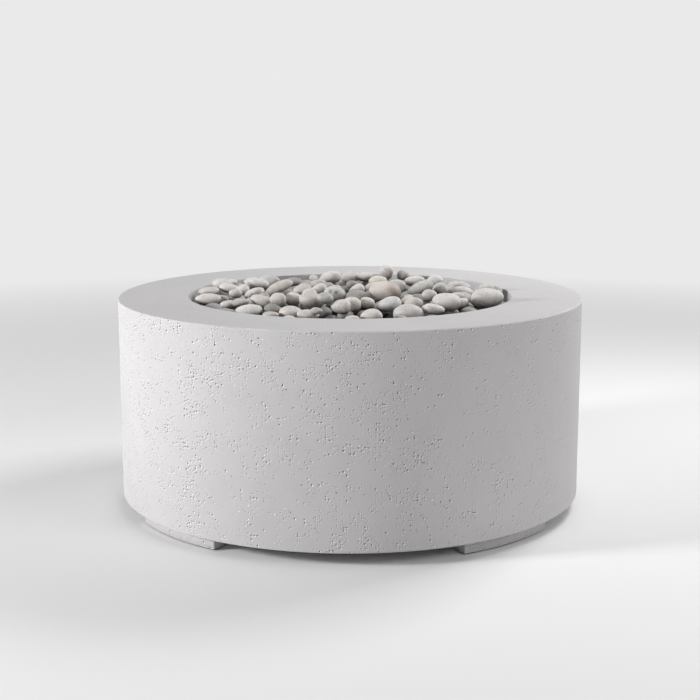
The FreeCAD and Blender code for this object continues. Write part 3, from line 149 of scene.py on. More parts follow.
world = bpy.data.worlds.new("studio_sky")
world.use_nodes = True
bpy.context.scene.world = world
tree = world.node_tree
sky = tree.nodes["Background"].inputs
sky["Color"].default_value = sky_paint
tree.links.new(spread(tree, shown_rays(tree), 0.0, 1.0, sky_light, 1.0), sky["Strength"])

lamp_aim = (0.0, 0.0, 0.35)


def soft_lamp(name, place, width, height, power):
    """A rectangular soft box, sized in metres and rated in watts, that looks at the table."""
    light = bpy.data.lights.new(name, "AREA")
    light.shape = "RECTANGLE"
    light.size = width
    light.size_y = height
    light.energy = power
    lamp = bpy.data.objects.new(name, light)
    lamp.location = place
    lamp.rotation_euler = (Vector(lamp_aim) - Vector(place)).to_track_quat("-Z", "Y").to_euler()
    lamp.visible_camera = False
    bpy.context.scene.collection.objects.link(lamp)


soft_lamp("lamp_left", (-4.0, -1.6, 1.5), 0.7, 0.6, 158.0)
soft_lamp("lamp_above", (1.5, 1.1, 2.3), 1.1, 0.9, 46.0)
soft_lamp("lamp_right", (2.8, -2.1, 2.2), 1.5, 1.3, 30.0)

camera_distance = 3.173
camera_height = 0.9288
camera_turn = math.radians(3.0)
camera_dip = math.radians(10.375)
camera_lens = 70.7
camera_sensor = 36.0
view = bpy.data.cameras.new("photo_view")
view.lens = camera_lens
view.sensor_width = camera_sensor
camera = bpy.data.objects.new("photo_view", view)
camera.location = (camera_distance * math.sin(camera_turn),
                   -camera_distance * math.cos(camera_turn), camera_height)
camera.rotation_euler = (math.pi / 2 - camera_dip, 0.0, camera_turn)
bpy.context.scene.collection.objects.link(camera)
bpy.context.scene.camera = camera


# Gas hoses and the two leads
# Black rubber hose crimped into brass flare nuts carries gas from the regulator to the valve and on
# to the burner. Red and white silicone leads run from the igniter and the valve to the probes.
def blend_colours(tree, share, first, second, way="MIX"):
    """The first colour where share is 0, the second where it is 1."""
    mix = node(tree, "ShaderNodeMix", data_type="RGBA", blend_type=way)
    for socket, value in ((mix.inputs[0], share), (mix.inputs[6], first), (mix.inputs[7], second)):
        if isinstance(value, bpy.types.NodeSocket):
            tree.links.new(value, socket)
        else:
            socket.default_value = value
    return mix.outputs[2]


def noise(tree, place, scale, detail, roughness=0.5, distortion=0.0):
    """Cloudy random values about a half, with scale clouds to the metre."""
    return node(tree, "ShaderNodeTexNoise", {
        "Vector": place, "Scale": scale, "Detail": detail, "Roughness": roughness,
        "Distortion": distortion}).outputs["Fac"]


def raised(tree, height, strength, depth, under=None, sunk=False):
    """The surface's direction tilted by a height, or by a depth where sunk, over another one."""
    bump = node(tree, "ShaderNodeBump", {"Strength": strength, "Distance": depth,
                                         "Height": height}, invert=sunk)
    if under is not None:
        tree.links.new(under, bump.inputs["Normal"])
    return bump.outputs["Normal"]


def grain_effect():
    """Shared effect: coarse and fine unevenness of a surface, as a value and as a height."""
    group = bpy.data.node_groups.new("surface_grain", "ShaderNodeTree")
    for name, kind, value in (("Place", "NodeSocketVector", None),
                              ("Coarse Scale", "NodeSocketFloat", 40.0),
                              ("Fine Scale", "NodeSocketFloat", 400.0),
                              ("Fine Share", "NodeSocketFloat", 0.4)):
        socket = group.interface.new_socket(name, in_out="INPUT", socket_type=kind)
        if value is not None:
            socket.default_value = value
    group.interface.new_socket("Value", in_out="OUTPUT", socket_type="NodeSocketFloat")
    group.interface.new_socket("Height", in_out="OUTPUT", socket_type="NodeSocketFloat")
    given = node(group, "NodeGroupInput").outputs
    both = node(group, "ShaderNodeMix", data_type="FLOAT")
    group.links.new(given["Fine Share"], both.inputs[0])
    group.links.new(noise(group, given["Place"], given["Coarse Scale"], 4.0), both.inputs[2])
    group.links.new(noise(group, given["Place"], given["Fine Scale"], 3.0), both.inputs[3])
    result = node(group, "NodeGroupOutput").inputs
    group.links.new(spread(group, both.outputs[0], 0.28, 0.72), result["Value"])
    group.links.new(both.outputs[0], result["Height"])
    return group


grain_group = grain_effect()
grain_depth = 0.0003


def grain(tree, coarse_scale, fine_scale, fine_share=0.4, place=None):
    """The grain effect placed in a material."""
    made = node(tree, "ShaderNodeGroup", node_tree=grain_group)
    tree.links.new(place or object_place(tree), made.inputs["Place"])
    made.inputs["Coarse Scale"].default_value = coarse_scale
    made.inputs["Fine Scale"].default_value = fine_scale
    made.inputs["Fine Share"].default_value = fine_share
    return made.outputs["Value"], made.outputs["Height"]


def even_finish(name, dark, light, scales, roughness, metallic=0.0, bump=0.2):
    """A finish whose colour and roughness wander a little between two shades with the grain."""
    made, tree, shader = finish_named(name)
    value, height = grain(tree, *scales)
    tree.links.new(blend_colours(tree, value, dark, light), shader.inputs["Base Color"])
    tree.links.new(spread(tree, value, 0.0, 1.0, *roughness), shader.inputs["Roughness"])
    shader.inputs["Metallic"].default_value = metallic
    tree.links.new(raised(tree, height, bump, grain_depth), shader.inputs["Normal"])
    return made


hose_finish = even_finish("hose_rubber_black", paint(28, 28, 29), paint(48, 47, 46),
                          (90, 1400), (0.62, 0.5))
red_lead_finish = even_finish("lead_silicone_red", paint(140, 32, 24), paint(168, 46, 34),
                              (120, 1500), (0.5, 0.4))
white_lead_finish = even_finish("lead_silicone_white", paint(196, 192, 184),
                                paint(216, 212, 205), (120, 1500), (0.5, 0.4))


def soft_line(name, route, diameter, finish, replaced):
    """A round line on one smooth curve through space, held by the table at both ends."""
    curve = bpy.data.curves.new(name, "CURVE")
    curve.dimensions = "3D"
    curve.bevel_depth = diameter / 2
    curve.bevel_resolution = 5
    curve.resolution_u = 10
    curve.use_fill_caps = True
    spline = curve.splines.new("NURBS")
    spline.points.add(len(route) - 1)
    spline.points.foreach_set("co", np.column_stack([route, np.ones(len(route))]).ravel())
    spline.order_u = 3
    spline.use_endpoint_u = True
    curve.materials.append(finish)
    line = bpy.data.objects.new(name, curve)
    bpy.context.scene.collection.objects.link(line)
    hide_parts(replaced)
    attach(line, "drum")


hose_diameter = 0.0095
lead_diameter = 0.0032
supply_route = [(-0.1249, 0.3975, 0.160), (-0.0930, 0.4130, 0.160), (-0.0690, 0.4327, 0.1724),
                (-0.0522, 0.4465, 0.1923), (-0.0450, 0.4524, 0.2130), (-0.0450, 0.4524, 0.2350)]
burner_route = [(-0.0350, 0.4124, 0.2850), (-0.0350, 0.3600, 0.2850), (-0.0361, 0.2998, 0.2620),
                (-0.0329, 0.2499, 0.2219), (-0.0280, 0.2050, 0.1760), (-0.0200, 0.1551, 0.1411),
                (-0.0119, 0.0998, 0.1240), (-0.0049, 0.0520, 0.1220), (0.0, 0.0140, 0.1410),
                (0.0, 0.0, 0.1720), (0.0, 0.0, 0.2130)]
igniter_route = [(0.0800, 0.1600, 0.3410), (0.0800, 0.1600, 0.3180), (0.0770, 0.1869, 0.2960),
                 (0.0710, 0.2319, 0.2840), (0.0630, 0.2880, 0.2780), (0.0550, 0.3440, 0.2790),
                 (0.0500, 0.3920, 0.2850), (0.0500, 0.4294, 0.2850)]
sensor_route = [(0.1000, 0.1600, 0.3450), (0.1000, 0.1600, 0.3210), (0.0940, 0.1900, 0.3040),
                (0.0760, 0.2319, 0.2950), (0.0491, 0.2841, 0.2910), (0.0191, 0.3360, 0.2920),
                (-0.0090, 0.3779, 0.2970), (-0.0210, 0.4050, 0.3000), (-0.0210, 0.4304, 0.3000)]
soft_line("gas_hose_supply", supply_route, hose_diameter, hose_finish, "supply_hose")
soft_line("gas_hose_burner", burner_route, hose_diameter, hose_finish, "burner_hose")
soft_line("igniter_lead", igniter_route, lead_diameter, red_lead_finish, "ignition_lead")
soft_line("flame_sensor_lead", sensor_route, lead_diameter, white_lead_finish, "sensor_lead")


# The cast concrete drum and its four feet
# Glass-fibre concrete sprayed into a mould: smooth grey skin with clouded tone, pinholes left by
# air bubbles on the upright face, few on the rim, painted dark inside as shade with a painted
# highlight on one lip, and a slightly paler top edge, partly rubbed wear and partly painted
# highlight.
rim_top = 0.482
rim_outer = 0.5334
# Width and height of the paler top edge band, partly rubbed wear and partly painted highlight.
worn_and_highlighted_band = (0.0045, 0.001)
bottom_darkening_height = 0.03
lying_limit = 0.7
# Offset and growth of the painted highlight: a pale crescent on one side of each hole, where its
# edge would catch the light.
painted_highlight_shift = (-0.0017, 0.0014, 0.0)
painted_highlight_growth = 1.25
scrape_turn = (0.0, 0.0, 0.5)
scrape_draw = (1.0, 5.6, 1.0)
# Whether the holes are drawn out to scrapes, grid cells to the metre, their smallest and largest
# radius, and the share of them that is kept.
hole_layers = ((False, 140.0, (0.0006, 0.0017), 0.52),
               (False, 240.0, (0.0004, 0.0009), 0.55),
               (True, 11.0, (0.003, 0.006), 0.1))


def skin_place(tree, parts):
    """The concrete's skin laid flat, in metres: round the drum and up where it stands upright, with
    the seam at the back, and as seen from above where it lies level. Also whether it lies level,
    and the place as seen from above."""
    back = sums(tree, "MULTIPLY", parts["Y"], -1.0)
    along = sums(tree, "MULTIPLY", sums(tree, "ARCTAN2", parts["X"], back), rim_outer)
    upright = node(tree, "ShaderNodeCombineXYZ", {"X": along, "Y": parts["Z"]}).outputs[0]
    facing = node(tree, "ShaderNodeSeparateXYZ", {
        "Vector": node(tree, "ShaderNodeNewGeometry").outputs["Normal"]}).outputs["Z"]
    lying = sums(tree, "GREATER_THAN", sums(tree, "ABSOLUTE", facing, 0.0), lying_limit)
    above = node(tree, "ShaderNodeCombineXYZ", {"X": parts["X"], "Y": parts["Y"]}).outputs[0]
    flat = node(tree, "ShaderNodeMix", data_type="VECTOR")
    for socket, value in ((flat.inputs[0], lying), (flat.inputs[4], upright),
                          (flat.inputs[5], above)):
        tree.links.new(value, socket)
    return flat.outputs[1], lying, above


def air_holes(tree, place, crowd, scale, radius, share):
    """A mask of round holes at the points of a random grid on the flat skin. A hole is kept where
    its chance is below the crowd's share."""
    cell = node(tree, "ShaderNodeTexVoronoi", {"Vector": place, "Scale": scale},
                voronoi_dimensions="2D").outputs
    chances = node(tree, "ShaderNodeSeparateColor", {"Color": cell["Color"]}).outputs
    kept = sums(tree, "LESS_THAN", chances["Red"], sums(tree, "MULTIPLY", crowd, share))
    wide = spread(tree, chances["Green"], 0.0, 1.0, radius[0] * scale, radius[1] * scale)
    reach = sums(tree, "DIVIDE", cell["Distance"], wide)
    return sums(tree, "MULTIPLY", spread(tree, reach, 1.05, 0.7), kept)


def concrete_finish():
    """Grey cement clouds, fine sand grain, air holes and scrapes in clusters painted dark inside as
    shade with a painted highlight on one lip, a paler top edge that is partly rubbed wear and
    partly painted highlight, and darker towards the bottom."""
    made, tree, shader = finish_named("cast_concrete")
    place = object_place(tree)
    cloud = noise(tree, place, 3.4, 5.0, 0.55, 0.4)
    blotch = noise(tree, place, 15.0, 6.0, 0.62)
    tone = noise(tree, place, 2.1, 2.0)
    sand, sand_height = grain(tree, 260.0, 1500.0, 0.55)
    skin = blend_colours(tree, spread(tree, cloud, 0.3, 0.7), paint(194, 192, 193),
                         paint(203, 201, 202))
    for share, shade in ((spread(tree, blotch, 0.35, 0.75, 0.0, 0.45), paint(208, 206, 207)),
                         (spread(tree, tone, 0.42, 0.62, 0.0, 0.16), paint(201, 195, 194)),
                         (spread(tree, sand, 0.0, 1.0, 0.0, 0.10), paint(152, 152, 153))):
        skin = blend_colours(tree, share, skin, shade)

    parts = node(tree, "ShaderNodeSeparateXYZ", {"Vector": place}).outputs
    skin_flat, lying, above = skin_place(tree, parts)
    crowd = spread(tree, noise(tree, place, 26.0, 3.0, 0.6), 0.47, 0.6, 0.08, 1.0)
    for share in (spread(tree, noise(tree, place, 4.0, 2.0), 0.4, 0.6, 0.35, 1.0),
                  spread(tree, parts["X"], -0.05, 0.4, 1.0, 0.6),
                  spread(tree, lying, 0.0, 1.0, 1.0, 0.12)):
        crowd = sums(tree, "MULTIPLY", crowd, share)
    painted_highlight_flat = node(tree, "ShaderNodeVectorMath", {0: skin_flat, 1: painted_highlight_shift},
                    operation="ADD").outputs[0]
    holes = painted_highlights = None
    for scrapes, scale, radius, share in hole_layers:
        where, painted_highlight_where = skin_flat, painted_highlight_flat
        if scrapes:
            where, painted_highlight_where = (node(tree, "ShaderNodeMapping", {
                "Vector": flat, "Rotation": scrape_turn, "Scale": scrape_draw}).outputs[0]
                for flat in (skin_flat, painted_highlight_flat))
        hole = air_holes(tree, where, crowd, scale, radius, share)
        painted_highlight = air_holes(tree, painted_highlight_where, crowd, scale, np.multiply(radius, painted_highlight_growth), share)
        holes = hole if holes is None else sums(tree, "MAXIMUM", holes, hole)
        painted_highlights = painted_highlight if painted_highlights is None else sums(tree, "MAXIMUM", painted_highlights, painted_highlight)
    # Painted highlight: the shifted pale crescent beside each hole and scrape.
    skin = blend_colours(tree, sums(tree, "MULTIPLY", painted_highlights, 0.85), skin, paint(255, 254, 254))
    # Painted shade: each hole and scrape is coloured dark inside, besides being sunk by the bump.
    skin = blend_colours(tree, sums(tree, "MULTIPLY", holes, 0.9), skin, paint(58, 58, 58))

    # The top outer edge made paler: partly rubbed wear, partly a painted highlight along the
    # rounded edge.
    near_rim = sums(tree, "MULTIPLY",
                    spread(tree, length_of(tree, above), *(rim_outer - x for x in worn_and_highlighted_band)),
                    spread(tree, parts["Z"], *(rim_top - x for x in worn_and_highlighted_band)))
    wear_and_highlight = sums(tree, "MULTIPLY", near_rim, spread(tree, blotch, 0.4, 0.6, 0.25, 0.8))
    skin = blend_colours(tree, wear_and_highlight, skin, paint(216, 215, 212))
    # Darker towards the bottom, over the lowest 30 mm of the drum and the feet.
    bottom_darkening = spread(tree, parts["Z"], 0.0, bottom_darkening_height, 0.25, 0.0)
    skin = blend_colours(tree, bottom_darkening, skin, paint(120, 116, 110))
    tree.links.new(skin, shader.inputs["Base Color"])
    tree.links.new(spread(tree, blotch, 0.3, 0.7, 0.74, 0.86), shader.inputs["Roughness"])
    shader.inputs["Specular IOR Level"].default_value = 0.35
    waved = raised(tree, blotch, 0.3, 0.003)
    sanded = raised(tree, sand_height, 0.22, 0.0005, waved)
    tree.links.new(raised(tree, holes, 1.0, 0.002, sanded, sunk=True), shader.inputs["Normal"])
    return made


def give_finish(finish, *names):
    """The finish on CAD nodes whose own shape is right."""
    for name in names:
        nodes[name].data.materials.clear()
        nodes[name].data.materials.append(finish)


give_finish(concrete_finish(), "concrete_drum", "foot_1", "foot_2", "foot_3", "foot_4")

# Pads, foot bolts, washers and nuts
# Black rubber pads bonded under the feet, and zinc plated M8 bolts up through each foot into the
# drum's bottom flange, with washers and nuts on its upper side. Other small screws are alike.
rubber_finish = even_finish("pad_rubber", paint(34, 34, 35), paint(58, 57, 55), (70, 900),
                            (0.82, 0.7))
zinc_finish = even_finish("zinc_plate", paint(150, 152, 154), paint(196, 198, 199), (160, 2200),
                          (0.42, 0.28), metallic=0.95, bump=0.12)
give_finish(rubber_finish, "foot_pad_1", "foot_pad_2", "foot_pad_3", "foot_pad_4")
give_finish(zinc_finish, "foot_bolts", "foot_washers", "foot_nuts", "bracket_bolts",
            "bracket_nuts", "stand_screws")


# Burner pan and ring burner
# Drop-in pan spun from thin stainless sheet, with a welded double-ring burner on four stands, fed
# from below through a nipple and an air mixer with a turning shutter.
def brushed_finish(name, dark, light, stretch, roughness):
    """Rolled or spun metal: fine streaks drawn out along one direction, and faint cloudy stains."""
    made, tree, shader = finish_named(name)
    place = object_place(tree)
    drawn = node(tree, "ShaderNodeMapping", {"Vector": place, "Scale": stretch}).outputs[0]
    streak, height = grain(tree, 60.0, 420.0, 0.6, drawn)
    stain = spread(tree, noise(tree, place, 13.0, 4.0), 0.5, 0.8, 0.0, 0.35)
    shade = blend_colours(tree, streak, dark, light)
    shade = blend_colours(tree, stain, shade, paint(150, 138, 122))
    tree.links.new(shade, shader.inputs["Base Color"])
    tree.links.new(spread(tree, streak, 0.0, 1.0, *roughness), shader.inputs["Roughness"])
    shader.inputs["Metallic"].default_value = 1.0
    tree.links.new(raised(tree, height, 0.12, 0.0002), shader.inputs["Normal"])
    return made


pan_finish = brushed_finish("stainless_pan", paint(142, 144, 147), paint(188, 190, 193),
                            (1.0, 9.0, 1.0), (0.44, 0.28))
burner_finish = brushed_finish("stainless_burner", paint(112, 104, 96), paint(164, 158, 150),
                               (3.0, 3.0, 1.0), (0.55, 0.36))
iron_finish = even_finish("mixer_casting", paint(58, 58, 60), paint(88, 87, 86), (110, 900),
                          (0.7, 0.55), metallic=0.6, bump=0.4)
ceramic_finish = even_finish("probe_ceramic", paint(222, 219, 210), paint(236, 234, 228),
                             (140, 1600), (0.24, 0.16))
give_finish(pan_finish, "burner_pan", "probe_shelf", "rock_guard")
give_finish(burner_finish, "ring_burner", "burner_stands", "spark_electrode", "flame_sensor")
give_finish(iron_finish, "air_mixer", "pan_locknut", "feed_nipple")
give_finish(zinc_finish, "air_shutter")
give_finish(ceramic_finish, "electrode_insulator")

# Lava rock in the pan
# Dark, rough volcanic gravel of 12 to 22 mm that covers the burner and spreads the flame; the
# river stones lie on it, and it shows as dark gaps between them.
bed_edge = 0.3722
bed_rise = 0.0210
bed_crown_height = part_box("lava_rock_bed")[1].z
bed_rings = 45
bed_turns = 140
# Across and along waves to 2 pi metres, and where each starts.
bed_waves = ((330, 290, 0.3, 1.1), (410, 460, 2.0, 0.2), (190, 520, 1.4, 2.6))
bed_wave_height = 0.0014
opening_radius = 0.3734
pan_inner = 0.3481
pan_flange_height = 0.4236
pan_floor_height = 0.3586
pan_floor_rings = 4
rock_pitch = 0.0175
rock_row_share = 0.87
rock_jitter = 0.3
rock_half = (0.0058, 0.0112)
rock_sink = 0.0062
rock_edge_gap = 0.008
rock_seed = 7
wave_count = 7
wave_heights = (0.2, 1.0)
egg_share = 0.16


def dome_height(radius):
    """Height of the gravel's crowned top: the cap of a sphere through the crown and the edge."""
    ball = (opening_radius ** 2 + bed_rise ** 2) / (2 * bed_rise)
    return bed_crown_height - ball + np.sqrt(ball ** 2 - radius ** 2)


def closed_rings(ring_count, around_count):
    """The triangles of a closed skin over rings of points that follow one another, with a first
    point at one pole before them and a last one at the other pole behind them."""
    index = 1 + np.arange(ring_count * around_count).reshape(ring_count, around_count)
    after = np.roll(index, -1, 1)
    return np.vstack([np.stack([np.zeros_like(index[0]), index[0], after[0]], -1),
                      np.stack([index[:-1], index[1:], after[1:]], -1).reshape(-1, 3),
                      np.stack([index[:-1], after[1:], after[:-1]], -1).reshape(-1, 3),
                      np.stack([np.full_like(index[-1], index.size + 1), after[-1],
                                index[-1]], -1)])


def ball_grid(around_count, ring_count):
    """Unit directions over a ball on rings about its X axis, with one point at each pole, and the
    triangles that close it."""
    ring = np.pi * np.arange(1, ring_count + 1) / (ring_count + 1)
    turn = 2 * np.pi * np.arange(around_count) / around_count
    slope, turn = np.meshgrid(ring, turn, indexing="ij")
    body = np.stack([np.cos(slope), np.sin(slope) * np.cos(turn), np.sin(slope) * np.sin(turn)], -1)
    points = np.vstack([[[1, 0, 0]], body.reshape(-1, 3), [[-1, 0, 0]]])
    return points, closed_rings(ring_count, around_count)


def lumpy_balls(directions, halves, chance, square, swell, waves):
    """Many worn stones at once. Each is a ball drawn out to its half lengths, a little towards a
    box (its directions' powers sum to one at a power over two), swollen by a few long waves over
    its surface, and blunter at one end, as an egg is."""
    count = len(halves)
    power = chance.uniform(*square, (count, 1, 1))
    rounded = (np.abs(directions)[None] ** power).sum(-1) ** (-1 / power[..., 0])
    heading = chance.normal(0.0, waves, (count, wave_count, 3))
    phase = chance.uniform(0, 2 * np.pi, (count, wave_count, 1))
    height = chance.uniform(*wave_heights, (count, wave_count, 1)) * swell
    wave = height * np.cos(np.einsum("nkc,mc->nkm", heading, directions) + phase)
    bulge = 1 + wave.sum(1)
    local = directions[None] * (rounded * bulge)[..., None]
    local[..., 1:] *= 1 + chance.uniform(-egg_share, egg_share, (count, 1, 1)) * local[..., :1]
    local /= np.abs(local).max(axis=1, keepdims=True)
    return local * halves[:, None, :]


def many_faces(faces, points_each, count):
    """The faces of one shape repeated for count copies whose points follow one another."""
    return (faces[None] + points_each * np.arange(count)[:, None, None]).reshape(-1, 3)


def random_turns(chance, count):
    """Random rotations, as the matrices of random unit quaternions."""
    w, x, y, z = np.moveaxis(chance.normal(size=(count, 4)), 1, 0)
    size = np.sqrt(w * w + x * x + y * y + z * z)
    w, x, y, z = w / size, x / size, y / size, z / size
    rows = [[1 - 2 * (y * y + z * z), 2 * (x * y - z * w), 2 * (x * z + y * w)],
            [2 * (x * y + z * w), 1 - 2 * (x * x + z * z), 2 * (y * z - x * w)],
            [2 * (x * z - y * w), 2 * (y * z + x * w), 1 - 2 * (x * x + y * y)]]
    return np.moveaxis(np.array(rows), 2, 0)


def lava_gravel():
    """A lumpy bed turned about the upright axis, with hundreds of loose rocks set on a jittered
    grid of staggered rows in its top."""
    chance = np.random.default_rng(rock_seed)
    top_r = np.linspace(0.0, bed_edge, bed_rings + 1)[1:]
    floor_r = np.linspace(pan_inner, 0.0, pan_floor_rings + 2)[1:-1]
    outline_r = np.concatenate([top_r, [bed_edge, pan_inner, pan_inner], floor_r])
    outline_z = np.concatenate([dome_height(top_r) - 2 * rock_sink,
                                [pan_flange_height, pan_flange_height, pan_floor_height],
                                np.full(pan_floor_rings, pan_floor_height)])
    turn = 2 * np.pi * np.arange(bed_turns) / bed_turns
    radius, turn = np.meshgrid(outline_r, turn, indexing="ij")
    height = np.broadcast_to(outline_z[:, None], radius.shape).copy()
    lumps = sum(np.sin(f * radius * np.cos(turn) + p) * np.sin(g * radius * np.sin(turn) + q)
                for f, g, p, q in bed_waves)
    height[:bed_rings] += bed_wave_height * lumps[:bed_rings]
    ring = np.stack([radius * np.cos(turn), radius * np.sin(turn), height], -1).reshape(-1, 3)
    bed = np.vstack([[[0, 0, outline_z[0]]], ring, [[0, 0, pan_floor_height]]])
    bed_faces = closed_rings(*radius.shape)

    row_reach = int(bed_edge / rock_pitch) + 2
    rows = np.arange(-row_reach, row_reach + 1)
    column, row = np.meshgrid(rows, rows)
    spot = np.stack([(column + 0.5 * (row % 2)) * rock_pitch,
                     row * rock_pitch * rock_row_share], -1).reshape(-1, 2)
    spot += chance.uniform(-rock_jitter, rock_jitter, spot.shape) * rock_pitch
    half = np.sort(chance.uniform(*rock_half, (len(spot), 3)), axis=1)[:, ::-1]
    keep = np.hypot(*spot.T) < bed_edge - rock_edge_gap
    spot, half = spot[keep], half[keep]
    directions, faces = ball_grid(7, 3)
    local = lumpy_balls(directions, half, chance, square=(2.0, 3.4), swell=0.1, waves=3.4)
    turned = np.einsum("nij,nmj->nmi", random_turns(chance, len(spot)), local)
    centre = np.column_stack([spot, dome_height(np.hypot(*spot.T)) - rock_sink])
    turned[..., 2] *= (rock_sink / np.maximum(turned[..., 2].max(1), rock_sink))[:, None]
    rocks = (turned + centre[:, None]).reshape(-1, 3)
    rock_faces = many_faces(faces, len(directions), len(spot))
    return np.vstack([bed, rocks]), np.vstack([bed_faces, rock_faces + len(bed)])


def lava_finish():
    """Charcoal and rust-brown rock with deep pores."""
    made, tree, shader = finish_named("lava_rock_dark")
    place = object_place(tree)
    value, height = grain(tree, 70.0, 620.0, 0.5)
    pores = node(tree, "ShaderNodeTexVoronoi",
                 {"Vector": place, "Scale": 520.0}).outputs["Distance"]
    rust = noise(tree, place, 34.0, 2.0)
    shade = blend_colours(tree, value, paint(34, 32, 31), paint(78, 72, 69))
    shade = blend_colours(tree, spread(tree, rust, 0.52, 0.7, 0.0, 0.45), shade, paint(98, 62, 50))
    shade = blend_colours(tree, spread(tree, pores, 0.1, 0.45, 0.65, 0.0), shade, paint(20, 18, 18))
    tree.links.new(shade, shader.inputs["Base Color"])
    shader.inputs["Roughness"].default_value = 0.95
    coarse = raised(tree, height, 0.8, 0.002)
    tree.links.new(raised(tree, pores, 0.9, 0.0012, coarse), shader.inputs["Normal"])
    return made


gravel = mesh_object("lava_gravel", *lava_gravel(), smooth=False)
gravel.data.materials.append(lava_finish())
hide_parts("lava_rock_bed")
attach(gravel, "drum")


# River stones
# Rounded, matt river pebbles of 25 to 80 mm heaped over the burner by hand. Most are pale grey; a
# few are beige, pinkish, bluish or dark, with grain, veins or small pits.
def stones_of(name):
    """Centre, axes and half lengths of each stone in a CAD node. Corners are first given the lowest
    number among those they share triangles with until none changes. The volume, first and second
    moments summed over a stone's triangles then give its centre and, as an ellipsoid's second
    moment is a fifth of its half lengths squared, its axes and half lengths."""
    mesh = nodes[name].data
    points = np.empty(len(mesh.vertices) * 3, np.float32)
    mesh.vertices.foreach_get("co", points)
    corners = np.empty(len(mesh.loops), np.int32)
    mesh.loops.foreach_get("vertex_index", corners)
    _, first, same = np.unique(np.round(points.reshape(-1, 3), 5), axis=0, return_index=True,
                               return_inverse=True)
    points = points.reshape(-1, 3)[first].astype(float)
    corners = same.reshape(-1)[corners].reshape(-1, 3)
    label = np.arange(len(points))
    while True:
        lowest = label[corners].min(axis=1)
        after = label.copy()
        for side in range(3):
            np.minimum.at(after, corners[:, side], lowest)
        after = after[after]
        if (after == label).all():
            break
        label = after
    stone = np.unique(label[corners[:, 0]], return_inverse=True)[1].reshape(-1)
    count = stone.max() + 1

    def summed(values):
        """Each column's sum over each stone's triangles."""
        return np.stack([np.bincount(stone, column, count) for column in values.T], -1)

    middle = summed(points[corners[:, 0]]) / np.bincount(stone, minlength=count)[:, None]
    a, b, c = (points[corners[:, side]] - middle[stone] for side in range(3))
    volume = np.einsum("ij,ij->i", a, np.cross(b, c)) / 6
    whole = np.bincount(stone, volume, count)[:, None]
    total = a + b + c
    centre = summed(volume[:, None] * total / 4) / whole
    second = sum(np.einsum("ni,nj->nij", p, p) for p in (a, b, c, total))
    moment = summed((second * (volume / 20)[:, None, None]).reshape(-1, 9)) / whole
    moment = moment.reshape(-1, 3, 3) - np.einsum("ni,nj->nij", centre, centre)
    size, axes = np.linalg.eigh(moment)
    axes = axes[:, :, ::-1].copy()
    axes[:, :, 2] *= np.sign(np.linalg.det(axes))[:, None]
    return centre + middle, axes, np.sqrt(5 * size[:, ::-1])


stone_tints = {
    "pale": (203, 200, 198), "grey": (185, 182, 180), "warm": (200, 194, 189),
    "cream": (211, 206, 201), "bluish": (186, 185, 184), "pinkish": (203, 197, 194),
    "dark": (144, 141, 139), "greenish": (180, 179, 175), "beige": (207, 200, 193),
    "white": (217, 214, 212)}
common_tints = ["pale"] * 12 + ["grey"] * 6 + ["warm"] * 4 + ["cream"] * 3 + ["bluish"] + \
    ["white"] * 3 + ["pinkish", "dark", "greenish"]
patched_stone = (0.084, -0.108)
pitted_stone = (-0.030, -0.098)
known_stones = [
    (*patched_stone, "beige"), (0.222, -0.178, "white"), (-0.005, -0.264, "pinkish"),
    (0.062, 0.146, "beige"), (0.053, 0.067, "warm"), (0.022, -0.115, "dark"),
    (0.096, -0.232, "bluish"), (0.164, -0.010, "greenish"), (0.078, 0.286, "pinkish"),
    (*pitted_stone, "greenish"), (-0.260, -0.066, "pinkish"), (0.259, 0.039, "grey"),
    (0.138, -0.254, "pale"), (-0.207, -0.236, "pale"), (-0.072, -0.215, "warm"),
    (0.312, -0.112, "grey"), (-0.165, -0.027, "warm"), (-0.320, -0.084, "pinkish"),
    (-0.186, -0.162, "pinkish"), (0.048, -0.190, "cream"), (0.046, -0.250, "greenish"),
    (0.150, -0.166, "warm"), (0.135, -0.120, "cream"), (-0.116, -0.170, "warm"),
    (-0.148, -0.190, "warm"), (-0.112, -0.276, "pinkish"), (0.211, 0.031, "grey"),
    (0.118, 0.298, "grey"), (0.255, 0.153, "grey"), (0.318, 0.060, "grey"),
    (-0.060, 0.194, "pale"), (-0.263, -0.156, "white"), (0.016, -0.216, "cream"),
    (-0.040, -0.262, "greenish"), (-0.316, 0.110, "pale"), (-0.336, 0.036, "pale")]
same_stone_reach = 0.012
stone_gain = (1.4, 1.85)
brightest_stone = 0.96
patch_paint = paint(178, 160, 147)
patch_share = 0.6
patch_start = 0.006
patch_slope = 0.3
patch_wave = (0.003, 300)
patch_fade = 0.014
pit_places = ((-0.008, 0.009), (0.006, 0.006))
pit_radius = 0.0048
pit_fade = 0.002
pit_shade = 0.6
pit_depth = 0.05
underside_shade = 0.74
underside_start = 0.35
underside_fade = 1.1
deep_shade = 0.92
deep_drop = (0.010, 0.034)
heap_crown = 0.5130
heap_fall = 0.16


def stone_at(centre, place):
    """The number of the stone that lies at a place, or None where no stone's centre is near."""
    distance = np.hypot(centre[:, 0] - place[0], centre[:, 1] - place[1])
    return distance.argmin() if distance.min() < same_stone_reach else None


